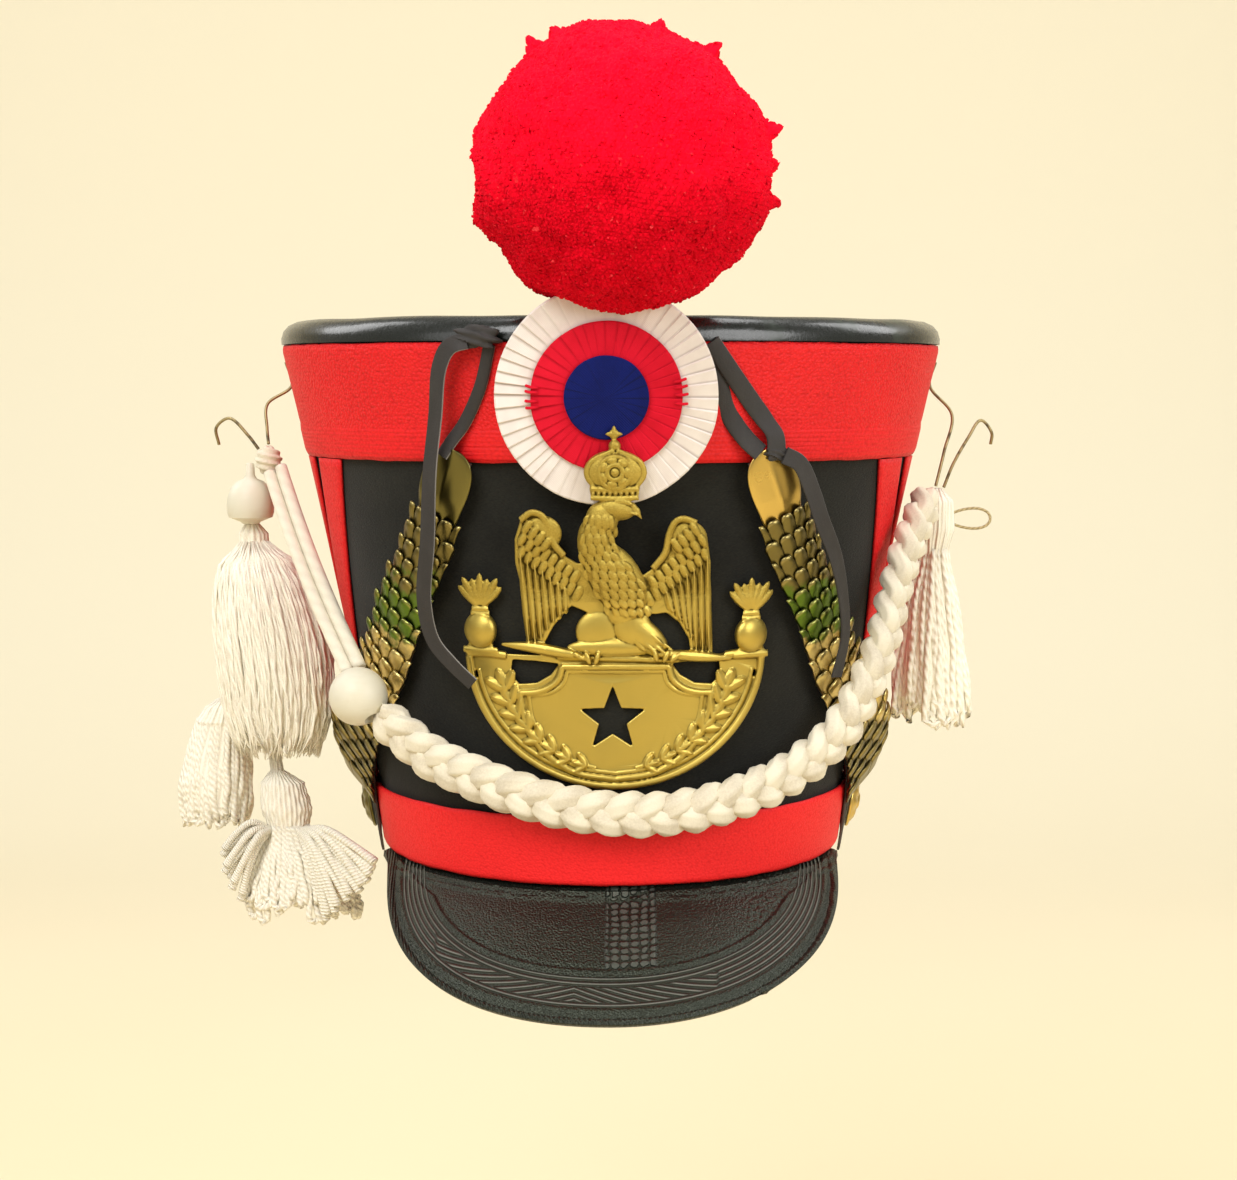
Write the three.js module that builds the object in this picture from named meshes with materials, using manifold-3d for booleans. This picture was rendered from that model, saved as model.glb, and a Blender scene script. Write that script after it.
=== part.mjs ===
// A flared felt shako: leather top, red bands, peak, brass eagle plate, cockade, pompom,
// brass chin scales and a white plaited cord with tassels.
// Millimetres, +Z up. The origin is the centre of the rim, where the hat sits on a head.
// The front faces -Y. A bearing is an angle round the crown, 0 at the front, positive towards +X.

import * as THREE from 'three';
import { mergeVertices } from 'three/addons/utils/BufferGeometryUtils.js';
import { TessellateModifier } from 'three/addons/modifiers/TessellateModifier.js';
import Module from 'manifold-3d';

const wasm = await Module();
wasm.setup();

// Crown
const CROWN_HEIGHT = 190;
const RIM_HALF = { x: 86, y: 98 };
const TOP_HALF = { x: 123.6, y: 125.4 };
const WAIST_DRAW_IN = 2;
const FELT = 2.2;
const GAP = 0.3;
const RING_SIDES = 34;
// Rings are turned round this radius and then laid on the crown
const LATHE_RADIUS = 100;

// Bands and chevrons, as offsets outward from the felt
const BAND_OUT = { inner: GAP, outer: 2.1 };
const UPPER_BAND = { bottom: 149, top: 190 };
const LOWER_BAND = { bottom: 0, top: 24.5 };
const CHEVRON_OUT = { inner: 0.6, outer: 1.8 };
const CHEVRON_TOP = 148.6;
// Half angles from the side of the hat, in degrees, and heights where the edges of each V end
const CHEVRONS = [
  { name: 'outer', topFront: 32.5, topRear: 21, footHalf: 9, foot: 25, crotch: 33 },
  { name: 'inner', topFront: 16.5, topRear: 6.5, footHalf: 0.8, foot: 53, crotch: 110 },
];

// Heights are drawn at a third, so that the strips are split finely round the crown and coarsely up it
const CHEVRON_DRAWN_HEIGHT = 1 / 3;
const CHEVRON_SPLIT = 13;

// Leather top
const TOP_SEAT = CROWN_HEIGHT + 0.4;
// Offsets from the felt at the top of the crown; a null offset is the centre line
const TOP_PROFILE = [
  { out: null, z: 195.4 },
  { out: -20, z: 195.4 },
  { out: -7, z: 199 },
  { out: -1.5, z: 197.6 },
  { out: 1.6, z: 194.4 },
  { out: 2, z: TOP_SEAT },
  { out: -3, z: TOP_SEAT },
  { out: -5, z: 193.2 },
  { out: null, z: 193.2 },
];

// Peak
const PEAK = { halfAngle: 75, reach: 45, drop: 36.4, endReach: 3.4, endDrop: 1.2, leather: 2.4, tuck: -1.6 };
const PEAK_SWELL = { narrowing: 1.2, endLift: 0.25 };
const PEAK_BELOW_RIM = 0.4;
const PEAK_STEPS = 22;
// Rows from the rim to the edge: place between them, and how far the leather bulges up there
const PEAK_ROWS = [
  { at: 0, lift: 0 },
  { at: 0.32, lift: 1.4 },
  { at: 0.68, lift: 1.5 },
  { at: 0.93, lift: 0.5 },
  { at: 1, lift: 1 },
];

// Cockade and pompom
const COCKADE = { x: -1, z: 172, out: 4.8 };
const COCKADE_DISCS = [
  { node: 'cockade_white', radius: 37.5, back: 0, thick: 1.2, pleats: 26, fold: 0.35, colour: '#f3ece6' },
  { node: 'cockade_red', radius: 25.5, back: 1.9, thick: 1, pleats: 18, fold: 0.2, colour: '#d3182c' },
  { node: 'cockade_blue', radius: 14.2, back: 3.4, thick: 1, pleats: 10, fold: 0, colour: '#16215f' },
];
const DISC_EDGE = { thin: 0.8, flatTo: 0.5 };
const POMPOM = { x: 4, y: -129, z: 248, core: 43.5, tip: 49, tufts: 27, lowestTuft: -0.86 };
const TUFT = { root: 5, vary: 1.2, varyStep: 2.4, tipRadius: 6.8, rootRadius: 12.6, sides: 4 };
const POMPOM_CLEARANCE = 0.6;
const STEM = { width: 10, thick: 2, out: 2.4, foot: 152, head: 226 };

// Front plate: x from its middle line, y up from its lowest point
const PLATE = { x: 2, foot: 35, sheet: 1.2, bendStep: 21 };
const PLATE_STANDOFF = [
  { z: 0, out: 0.8 },
  { z: 104, out: 0.8 },
  { z: 133, out: 7 },
  { z: 150, out: 8.7 },
  { z: 164, out: 9.9 },
];
const SHIELD = { halfWidth: 52.5, top: 47.5, border: 2.4, rim: 1 };
const WING_LEFT = [
  [-10, 80], [-13, 80], [-17.5, 82.7], [-21.3, 87.5], [-22.7, 93], [-25, 96.6], [-28.5, 97.6], [-32.3, 94.8],
  [-34.4, 88.2], [-34.4, 80], [-32.3, 70.6], [-30.9, 61.6], [-31, 50.5], [-25.1, 50.5], [-21.3, 57.8],
  [-16.5, 61.6], [-15.8, 67.5], [-8, 66],
];
const WING_RIGHT = [
  [6, 75], [8.2, 75], [12.7, 78.2], [16.8, 83.7], [18.2, 90.3], [20.3, 94.5], [23, 95.5], [27.5, 93.8],
  [31.3, 88.2], [32.6, 80], [32.6, 70.6], [33.3, 61.6], [33.7, 47], [26.1, 47], [25.1, 53.3], [22, 58.8],
  [18.2, 61.6], [17.5, 65], [10, 63],
];
const WING_DEPTH = 2.2;
const QUILLS = 3;
const QUILL_ROWS = {
  left: { topOuter: [-31.8, 86], topInner: [-17, 76], footOuter: [-29, 52.5], footInner: [-18.2, 64] },
  right: { topOuter: [30, 85], topInner: [14, 73], footOuter: [31.6, 49.5], footInner: [19.6, 62] },
};
// Swellings of the figure: middle, half sizes and lean in degrees; each sits proud by a share of its depth
const FIGURE_SINK = 0.3;
const FIGURE = [
  { x: -1.5, y: 74.5, half: { x: 10.4, y: 15.6, z: 5.6 }, lean: 24 },
  { x: -6, y: 90, half: { x: 5.6, y: 11, z: 4.6 }, lean: -12 },
  { x: -0.5, y: 98.6, half: { x: 7, y: 4.8, z: 4.2 }, lean: -10 },
  { x: -0.2, y: 111, half: { x: 10.6, y: 7.8, z: 4 }, lean: 0 },
  { x: -0.3, y: 120, half: { x: 2.3, y: 2.6, z: 2.4 }, lean: 0 },
  { x: -6.2, y: 55.5, half: { x: 7.4, y: 7.4, z: 4.6 }, lean: 20 },
  { x: 9.4, y: 55.5, half: { x: 8.4, y: 7.8, z: 4.6 }, lean: -24 },
  { x: -25.5, y: 89, half: { x: 7.6, y: 7.4, z: 3.2 }, lean: 10 },
  { x: 24.4, y: 87, half: { x: 7.2, y: 7.6, z: 3.2 }, lean: -10 },
];
const LEAVES = [
  { x: 42.8, y: 31, lean: 14 },
  { x: 34.6, y: 17.4, lean: 42 },
];
const LEAF_HALF = { x: 1.9, y: 5.2, z: 1.9 };
const GRENADES = [
  { x: -47, y: 56, neck: 62.2 },
  { x: 47, y: 54.4, neck: 60.6 },
];
const GRENADE_BALL = { z: 1.6, half: { x: 5.8, y: 5.8, z: 4.8 } };
const GRENADE_FOOT = { depth: 2.4, outline: [[-6, -9.5], [6, -9.5], [4, -3], [-4, -3]] };
const GRENADE_NECK = { half: 3.6, radius: 1.6 };
const FLAME_DEPTH = 2.6;
const FLAME = [
  [-3, -1], [-7.4, 8.6], [-4.4, 7.6], [-2.8, 11.4], [0, 8.2], [2.8, 11.4], [4.4, 7.6], [7.4, 8.6], [3, -1],
];
const PERCH = { from: [-39, 50.6], to: [40, 45.8], radius: 1.7 };
const STAR = { x: -1, y: 25, outer: 12, inner: 5 };
const LUNETTE = [[35.6, 44.4], [20.8, 43.6], [24.6, 39.6], [33.4, 38.2]];
const BEAK = { depth: 4, outline: [[2, 101.5], [6.4, 101], [8.8, 95.6], [5.2, 97], [2, 96]] };
const CROWN_BAND = { depth: 3.2, outline: [[-8, 102], [7.4, 102], [8, 106], [-8.6, 106]] };
const TOP_CROSS = { x: -0.6, y: 124, outer: 3.6, inner: 1.7, depth: 1.8 };
// Inner panel of the shield: corners, the bow between them, and the frame round it
const PANEL = { middle: 26, top: 42.4, topHalf: 17, sideHalf: 35.5, sideTop: 35, foot: 6.6 };
const PANEL_BOW = { shoulder: [23, 35.5], side: [30, 9] };
const PANEL_FRAME = { inside: 0.93, proud: 0.7 };

// Chin scales: middle line on the crown, from the side button up to the tongue
const CHIN_ROUTE = [
  { bearing: 88, z: 8 },
  { bearing: 80, z: 33 },
  { bearing: 66, z: 55 },
  { bearing: 52, z: 76 },
  { bearing: 43.5, z: 97 },
  { bearing: 36, z: 115.5 },
  { bearing: 30.5, z: 134 },
  { bearing: 25, z: 157 },
];
const CHIN_FLAT_RADIUS = 104;
const CHIN_STRAP = { inner: 2.7, outer: 3.9, footWidth: 30, headWidth: 15, from: -5, short: 1 };
const SCALES = { count: 9, start: 19, pitch: 14, overlap: 4.5, thick: 0.8 };
const SCALE_LIE = { out: 4.3, rise: 0.115, camber: 1.6 };
const SCALE_WIDTH = { foot: 36, head: 21, taper: 0.86 };
const SCALE_LOBES = { count: 3, notch: 2.4 };
const TONGUE = { length: 42, width: 16, thick: 0.9, crease: 0.9 };
// The tongue's share of its full width at the neck, where it is fullest, and how blunt its end is
const TONGUE_FORM = { neck: 0.78, fullest: 0.8, blunt: 0.9, bluntPower: 8 };
const BOSS = { at: 8, sides: 11 };
const BOSS_PROFILE = [
  { r: 0, h: 0 },
  { r: 10.5, h: 0 },
  { r: 10.5, h: 1 },
  { r: 7.4, h: 2.3 },
  { r: 3.7, h: 3.9 },
  { r: 0, h: 4.2 },
];

// Leather ties: bearing, height and offset of the middle line
const TIE = { width: 6.7, thick: 1.3, staySteps: 8, tailSteps: 12 };
const TIE_STAYS = {
  left: [
    { bearing: -24.5, z: 160.5, out: 3.1 },
    { bearing: -21, z: 175, out: 3.1 },
    { bearing: -18.6, z: 189, out: 3.1 },
  ],
  right: [
    { bearing: 27.6, z: 152.5, out: 8.2 },
    { bearing: 27.2, z: 158.5, out: 7 },
    { bearing: 25.8, z: 163.5, out: 4.2 },
    { bearing: 23.6, z: 169, out: 3.1 },
    { bearing: 19.6, z: 179, out: 3.1 },
    { bearing: 15.6, z: 190, out: 3.1 },
  ],
};
const TIE_KNOTS = {
  left: { bearing: -20.2, z: 191.5, out: 4.9, half: { x: 9, y: 2.4, z: 4.2 } },
  right: { bearing: 27.6, z: 151.5, out: 8.2, half: { x: 5, y: 1.9, z: 4 } },
};
const TIE_TAILS = {
  left: [
    { bearing: -25.7, z: 191, out: 5.2 },
    { bearing: -26.6, z: 179, out: 8 },
    { bearing: -27.6, z: 165, out: 9.6 },
    { bearing: -29.2, z: 146, out: 12 },
    { bearing: -30.9, z: 122, out: 13.4 },
    { bearing: -33.3, z: 101, out: 13 },
    { bearing: -33, z: 87, out: 11.5 },
    { bearing: -29.8, z: 78.5, out: 10 },
    { bearing: -26.4, z: 72, out: 8.5 },
  ],
  right: [
    { bearing: 31.3, z: 151, out: 8.6 },
    { bearing: 34, z: 140, out: 11.5 },
    { bearing: 37, z: 131, out: 13 },
    { bearing: 41.2, z: 118, out: 13.8 },
    { bearing: 44.6, z: 103.4, out: 14 },
    { bearing: 47.2, z: 87, out: 14 },
    { bearing: 46.9, z: 72, out: 13.2 },
  ],
};

// White cord
const BRAID = { width: 15, thick: 11, lobe: 0.16, lobePitch: 13, sides: 8, stepsPerLobe: 2.1 };
const BRAID_ROUTE = [
  { bearing: -45.6, z: 52.6, out: 12.6 },
  { bearing: -38, z: 45, out: 11 },
  { bearing: -32.6, z: 41, out: 9.8 },
  { bearing: -21.7, z: 35.2, out: 9.4 },
  { bearing: -11.6, z: 30.8, out: 9.4 },
  { bearing: 0, z: 27.8, out: 9.4 },
  { bearing: 11.8, z: 27.4, out: 9.4 },
  { bearing: 22, z: 29.8, out: 9.4 },
  { bearing: 33.1, z: 35, out: 10 },
  { bearing: 42.9, z: 43.4, out: 12.5 },
  { bearing: 49.3, z: 53.7, out: 15 },
  { bearing: 53.4, z: 65.8, out: 16 },
  { bearing: 58, z: 79.4, out: 15.4 },
  { bearing: 63.3, z: 96.9, out: 12.6 },
  { bearing: 67.6, z: 111, out: 11 },
  { bearing: 73.3, z: 124, out: 10.6 },
  { bearing: 79.5, z: 133, out: 11.5 },
];
const SLIDE_BEAD = { bearing: -50.6, z: 64.6, out: 19.4, radius: 10.5 };
const PLAIN_CORD = { diameter: 4, sides: 8, steps: 11, apart: 4.9 };
const PLAIN_CORD_ROUTE = [
  { bearing: -54.5, z: 77.6, out: 14 },
  { bearing: -59, z: 91, out: 10.5 },
  { bearing: -67, z: 110, out: 8.6 },
  { bearing: -77, z: 130, out: 10 },
  { bearing: -82.5, z: 141, out: 12.6 },
];
const CORD_KNOT = { x: -130.6, y: -12, z: 146.6, half: { x: 5.2, y: 5.2, z: 5.6 } };

const BELL_BEAD = { x: -137.7, y: -12, sides: 10, rows: [
  { r: 0, z: 145.6 },
  { r: 1.6, z: 145.6 },
  { r: 1.8, z: 140 },
  { r: 6.4, z: 138 },
  { r: 9, z: 131 },
  { r: 8.4, z: 125 },
  { r: 3, z: 122.4 },
  { r: 0, z: 122.4 },
] };

// Tassels: rows of the outer form from the neck to the ends of the locks
const TASSELS = [
  { node: 'tassel_left_big', locks: 11, flute: 0.13, ragged: 4, flat: 0.74, y: -10, hollow: 10, rows: [
    { x: -137.4, r: 2.4, z: 122 },
    { x: -137, r: 5.6, z: 117 },
    { x: -136.6, r: 4.8, z: 110 },
    { x: -135, r: 16, z: 97 },
    { x: -132.6, r: 23, z: 76 },
    { x: -131, r: 22, z: 54 },
    { x: -131, r: 14, z: 34 },
  ] },
  { node: 'tassel_left_side', locks: 9, flute: 0.2, ragged: 5, flat: 0.8, y: 4, hollow: 8, rows: [
    { x: -151.6, r: 2.2, z: 52 },
    { x: -152, r: 6, z: 47 },
    { x: -153, r: 6, z: 40 },
    { x: -155, r: 10.5, z: 26 },
    { x: -156.5, r: 13.5, z: 7 },
  ] },
  { node: 'tassel_left_low', locks: 11, flute: 0.2, ragged: 6, flat: 0.72, y: -10, hollow: 8, rows: [
    { x: -131, r: 2.4, z: 40.4 },
    { x: -129, r: 2.4, z: 27 },
    { x: -127, r: 8.4, z: 22 },
    { x: -125.6, r: 10, z: 12 },
    { x: -124.6, r: 7.6, z: 4 },
    { x: -121, r: 17.5, z: -9 },
    { x: -119.5, r: 23.5, z: -26 },
  ] },
  { node: 'tassel_right', locks: 10, flute: 0.18, ragged: 5, flat: 0.85, y: -11, hollow: 8, rows: [
    { x: 124, r: 2.6, z: 136 },
    { x: 124, r: 7, z: 131 },
    { x: 124, r: 7.6, z: 120 },
    { x: 123.6, r: 5.6, z: 111 },
    { x: 123, r: 10, z: 96 },
    { x: 123, r: 13.4, z: 73 },
    { x: 123.6, r: 15.4, z: 49 },
  ] },
];

// Wires and the loop of thread
const THREAD_LOOP = { x: 139.8, y: -11, z: 124.4, half: { x: 7.4, z: 3.6 } };
const THREAD = { radius: 0.6, sides: 5, steps: 12 };
const WIRE = { radius: 0.6, sides: 6, steps: 8 };
const HANGER_TOP = { high: 184, low: 175, out: BAND_OUT.outer + GAP + WIRE.radius };
const HANGERS = {
  left: [[-132, -3, 168], [-131.6, -8, 159], [-130.6, -11.6, 152.9]],
  right: [[131.4, -2, 164], [128, -7, 150], [124.4, -10.8, 136.8]],
};
const HOOKS = {
  left: [
    [-134.6, -10.6, 150.9],
    [-138.6, -9.6, 156],
    [-146, -8, 162.6],
    [-151.2, -7, 159],
    [-150.4, -6, 152.4],
  ],
  right: [
    [127.4, -11, 136.2],
    [131, -10, 145],
    [136.9, -8, 155],
    [142, -6, 161.8],
    [146.4, -5, 157],
    [146.2, -4, 152.6],
  ],
};

// Colours
const FINISHES = {
  felt: { color: '#24241f', roughness: 0.95, metalness: 0 },
  topLeather: { color: '#10140f', roughness: 0.25, metalness: 0 },
  redLeather: { color: '#d92b2b', roughness: 0.55, metalness: 0 },
  peakLeather: { color: '#26292a', roughness: 0.4, metalness: 0 },
  brass: { color: '#d0a935', roughness: 0.32, metalness: 1 },
  strapLeather: { color: '#3a3232', roughness: 0.7, metalness: 0 },
  tieLeather: { color: '#4b4646', roughness: 0.7, metalness: 0 },
  wool: { color: '#d9031e', roughness: 1, metalness: 0 },
  cotton: { color: '#f2ead8', roughness: 0.9, metalness: 0 },
  bead: { color: '#f4ecdc', roughness: 0.5, metalness: 0 },
  wire: { color: '#8a8268', roughness: 0.35, metalness: 1 },
};

const WELD = 1e-3;
const part = new THREE.Group();

// Mesh helpers

function signedVolume(geometry) {
  const at = geometry.attributes.position;
  const index = geometry.index;
  const [a, b, c] = [new THREE.Vector3(), new THREE.Vector3(), new THREE.Vector3()];
  let volume = 0;
  for (let i = 0; i < index.count; i += 3) {
    a.fromBufferAttribute(at, index.getX(i));
    b.fromBufferAttribute(at, index.getX(i + 1));
    c.fromBufferAttribute(at, index.getX(i + 2));
    volume += a.dot(b.cross(c)) / 6;
  }
  return volume;
}

// Merges shared corners, drops triangles that have collapsed and turns the faces outward.
function weld(geometry) {
  const bare = new THREE.BufferGeometry();
  bare.setAttribute('position', geometry.attributes.position.clone());
  if (geometry.index) {
    bare.setIndex(geometry.index.clone());
  }
  const merged = mergeVertices(bare, WELD);
  const kept = [];
  for (let i = 0; i < merged.index.count; i += 3) {
    const corners = [0, 1, 2].map((k) => merged.index.getX(i + k));
    if (new Set(corners).size === 3) {
      kept.push(...corners);
    }
  }
  merged.setIndex(kept);
  if (signedVolume(merged) < 0) {
    merged.setIndex(kept.reverse());
  }
  return merged;
}

// Moves every corner of a geometry through a function of its place.
function reshape(geometry, place) {
  const moved = geometry.clone();
  const at = moved.attributes.position;
  const corner = new THREE.Vector3();
  for (let i = 0; i < at.count; i += 1) {
    const to = place(corner.fromBufferAttribute(at, i));
    at.setXYZ(i, to.x, to.y, to.z);
  }
  return weld(moved);
}

function toSolid(geometry) {
  const welded = weld(geometry);
  const vertProperties = new Float32Array(welded.attributes.position.array);
  const triVerts = new Uint32Array(welded.index.array);
  return new wasm.Manifold(new wasm.Mesh({ numProp: 3, vertProperties, triVerts }));
}

function toGeometry(solid) {
  const mesh = solid.getMesh();
  const geometry = new THREE.BufferGeometry();
  geometry.setAttribute('position', new THREE.BufferAttribute(new Float32Array(mesh.vertProperties), 3));
  geometry.setIndex(new THREE.BufferAttribute(new Uint32Array(mesh.triVerts), 1));
  return geometry;
}

function fuse(geometries) {
  return toGeometry(geometries.map(toSolid).reduce((whole, next) => whole.add(next)));
}

function cutAway(geometry, tools) {
  return toGeometry(tools.map(toSolid).reduce((rest, tool) => rest.subtract(tool), toSolid(geometry)));
}

function addPart(name, geometry, finish) {
  const mesh = new THREE.Mesh(geometry, new THREE.MeshStandardMaterial(finish));
  mesh.name = name;
  part.add(mesh);
}

// Crown surface

const degrees = THREE.MathUtils.degToRad;
const between = THREE.MathUtils.lerp;

function halfWidths(z) {
  const t = z / CROWN_HEIGHT;
  const drawIn = WAIST_DRAW_IN * 4 * t * (1 - t);
  return {
    x: between(RIM_HALF.x, TOP_HALF.x, t) - drawIn,
    y: between(RIM_HALF.y, TOP_HALF.y, t) - drawIn,
  };
}

function onCrown(bearing, z, out) {
  const half = halfWidths(z);
  return new THREE.Vector3((half.x + out) * Math.sin(bearing), -(half.y + out) * Math.cos(bearing), z);
}

// The point of the crown straight behind a place in the front view.
function behindFrontView(x, z, out) {
  return onCrown(Math.asin(x / (halfWidths(z).x + out)), z, out);
}

function rowPoint(row) {
  return onCrown(degrees(row.bearing), row.z, row.out);
}

// A ring round the crown from a closed section of offsets and heights.
function crownRing(section) {
  const profile = [...section, section[0]].map((row) => new THREE.Vector2(LATHE_RADIUS + row.out, row.z));
  const ring = new THREE.LatheGeometry(profile, RING_SIDES);
  return reshape(ring, (p) => onCrown(Math.atan2(p.x, p.z), p.y, Math.hypot(p.x, p.z) - LATHE_RADIUS));
}

function wallSection(inner, outer, heights) {
  const outside = heights.map((z) => ({ out: outer, z }));
  const inside = heights.toReversed().map((z) => ({ out: inner, z }));
  return [...outside, ...inside];
}

// A flat plate drawn in x and y with its thickness along z, split into short edges and then bent.
function bendPlate(flat, place, longestEdge) {
  const split = new TessellateModifier(longestEdge, 9).modify(flat);
  return reshape(split, place);
}

// A strip along a path: u runs along it, v across it and w through its thickness, each 0 to 1.
function strip(steps, across, place) {
  const box = new THREE.BoxGeometry(1, 1, 1, steps, across, 1);
  return reshape(box, (p) => place(p.x + 0.5, p.y + 0.5, p.z + 0.5));
}

function regularSection(radius, sides) {
  const corners = Array.from({ length: sides }, (_, i) => {
    const turn = (i / sides) * Math.PI * 2;
    return new THREE.Vector2(radius * Math.cos(turn), radius * Math.sin(turn));
  });
  return new THREE.Shape(corners);
}

function tube(points, radius, sides, steps) {
  const path = new THREE.CatmullRomCurve3(points, false, 'centripetal');
  const section = regularSection(radius, sides);
  return new THREE.ExtrudeGeometry(section, { steps, extrudePath: path, bevelEnabled: false });
}

function ellipsoid(center, half, sides = 10, rings = 6) {
  const ball = new THREE.SphereGeometry(1, sides, rings);
  ball.scale(half.x, half.y, half.z);
  ball.translate(center.x, center.y, center.z);
  return ball;
}

// Crown, bands and chevrons

function addCrown() {
  const waist = (LOWER_BAND.top + UPPER_BAND.bottom) / 2;
  const heights = [0, LOWER_BAND.top, waist, UPPER_BAND.bottom, CROWN_HEIGHT];
  addPart('crown_body', crownRing(wallSection(-FELT, 0, heights)), FINISHES.felt);
  for (const [name, band] of [['upper_band', UPPER_BAND], ['lower_band', LOWER_BAND]]) {
    const section = wallSection(BAND_OUT.inner, BAND_OUT.outer, [band.bottom, band.top]);
    addPart(name, crownRing(section), FINISHES.redLeather);
  }
}

function addLeatherTop() {
  const radius = (TOP_HALF.x + TOP_HALF.y) / 2;
  const fromMiddle = (out) => (out === null ? 0 : radius + out);
  const profile = TOP_PROFILE.map((row) => new THREE.Vector2(fromMiddle(row.out), row.z));
  const top = new THREE.LatheGeometry(profile, RING_SIDES);
  const stretch = { x: TOP_HALF.x / radius, y: TOP_HALF.y / radius };
  const place = (p) => new THREE.Vector3(p.x * stretch.x, -p.z * stretch.y, p.y);
  addPart('crown_top', reshape(top, place), FINISHES.topLeather);
}

function chevronOutline(row) {
  const corner = (angle, z) => new THREE.Vector2(angle, z * CHEVRON_DRAWN_HEIGHT);
  return new THREE.Shape([
    corner(-row.topFront, CHEVRON_TOP),
    corner(-row.footHalf, row.foot),
    corner(row.footHalf, row.foot),
    corner(row.topFront, CHEVRON_TOP),
    corner(row.topRear, CHEVRON_TOP),
    corner(0, row.crotch),
    corner(-row.topRear, CHEVRON_TOP),
  ]);
}

function addChevrons(side, sign) {
  for (const row of CHEVRONS) {
    const depth = CHEVRON_OUT.outer - CHEVRON_OUT.inner;
    const flat = new THREE.ExtrudeGeometry(chevronOutline(row), { depth, bevelEnabled: false });
    const place = (p) => {
      return onCrown(sign * degrees(90 + p.x), p.y / CHEVRON_DRAWN_HEIGHT, CHEVRON_OUT.inner + p.z);
    };
    addPart(`chevron_${row.name}_${side}`, bendPlate(flat, place, CHEVRON_SPLIT), FINISHES.redLeather);
  }
}

// Peak

function peakPoint(u, row, w) {
  const bearing = degrees(between(-PEAK.halfAngle, PEAK.halfAngle, u));
  const swell = Math.cos(PEAK_SWELL.narrowing * bearing) ** 2;
  const reach = PEAK.endReach + PEAK.reach * swell;
  const drop = PEAK.endDrop + PEAK.drop * swell;
  const rim = onCrown(bearing, 0, between(PEAK.tuck, reach, row.at));
  const lift = row.lift * Math.min(1, swell + PEAK_SWELL.endLift);
  return rim.setZ(lift - PEAK_BELOW_RIM - drop * row.at - PEAK.leather * (1 - w));
}

function addPeak() {
  const rows = PEAK_ROWS.length - 1;
  const place = (u, v, w) => peakPoint(u, PEAK_ROWS[Math.round(v * rows)], w);
  addPart('peak', strip(PEAK_STEPS, rows, place), FINISHES.peakLeather);
}

// Cockade and pompom

function frontLean() {
  const step = 1;
  return (halfWidths(COCKADE.z + step).y - halfWidths(COCKADE.z - step).y) / (2 * step);
}

// Turns a shape whose axis is +Z so that the axis leaves the front of the crown at the cockade.
function onFront(geometry, back) {
  const lean = Math.atan(frontLean());
  const origin = onCrown(0, COCKADE.z, COCKADE.out);
  geometry.translate(0, 0, back);
  geometry.rotateX(Math.PI / 2 + lean);
  geometry.translate(COCKADE.x, origin.y, origin.z);
  return geometry;
}

function pleatedDisc(row) {
  const segments = row.pleats * 2;
  const profile = [
    [0, 0],
    [row.radius, 0],
    [row.radius, row.thick * DISC_EDGE.thin],
    [row.radius * DISC_EDGE.flatTo, row.thick],
    [0, row.thick],
  ].map(([r, z]) => new THREE.Vector2(r, z));
  const disc = new THREE.LatheGeometry(profile, segments);
  return reshape(disc, (p) => {
    const turn = Math.round((Math.atan2(p.x, p.z) / (Math.PI * 2)) * segments);
    const spread = Math.hypot(p.x, p.z) / row.radius;
    const isFront = p.y > row.thick / 2;
    const fold = isFront ? row.fold * spread * (Math.abs(turn) % 2 === 0 ? 1 : -1) : 0;
    return new THREE.Vector3(p.x, -p.z, p.y + fold);
  });
}

function addCockade() {
  for (const row of COCKADE_DISCS) {
    const finish = { color: row.colour, roughness: 0.85, metalness: 0 };
    addPart(row.node, weld(onFront(pleatedDisc(row), row.back)), finish);
  }
}

function stemBox(extra) {
  const half = (STEM.width / 2) + extra;
  const lean = frontLean();
  const foot = onCrown(0, STEM.foot, 0).y;
  return strip(1, 1, (u, v, w) => {
    const z = between(STEM.foot - extra, STEM.head + extra, u);
    const out = between(STEM.out - extra, STEM.out + STEM.thick + extra, w);
    return new THREE.Vector3(POMPOM.x + between(-half, half, v), foot - (z - STEM.foot) * lean - out, z);
  });
}

// Places spread evenly over a ball, from its top to its underside.
function spreadOnBall(count) {
  const goldenTurn = Math.PI * (3 - Math.sqrt(5));
  return Array.from({ length: count }, (_, i) => {
    const z = 1 - (2 * (i + 0.5)) / count;
    const ring = Math.sqrt(1 - z * z);
    return new THREE.Vector3(ring * Math.cos(i * goldenTurn), ring * Math.sin(i * goldenTurn), z);
  });
}

function tuft(direction, index) {
  const length = POMPOM.tip - POMPOM.core + TUFT.root + TUFT.vary * Math.sin(index * TUFT.varyStep);
  const lock = new THREE.CylinderGeometry(TUFT.tipRadius, TUFT.rootRadius, length, TUFT.sides);
  lock.translate(0, POMPOM.core - TUFT.root + length / 2, 0);
  lock.applyQuaternion(new THREE.Quaternion().setFromUnitVectors(new THREE.Vector3(0, 1, 0), direction));
  return lock;
}

// The space that the cockade takes, with a little clearance, which the pompom's underside must not enter.
function cockadeRoom() {
  const last = COCKADE_DISCS.at(-1);
  const depth = last.back + last.thick + 2 * POMPOM_CLEARANCE;
  const radius = COCKADE_DISCS[0].radius + POMPOM_CLEARANCE;
  const disc = new THREE.CylinderGeometry(radius, radius, depth, COCKADE_DISCS[0].pleats);
  disc.rotateX(Math.PI / 2);
  return onFront(disc, depth / 2 - POMPOM_CLEARANCE);
}

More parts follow.
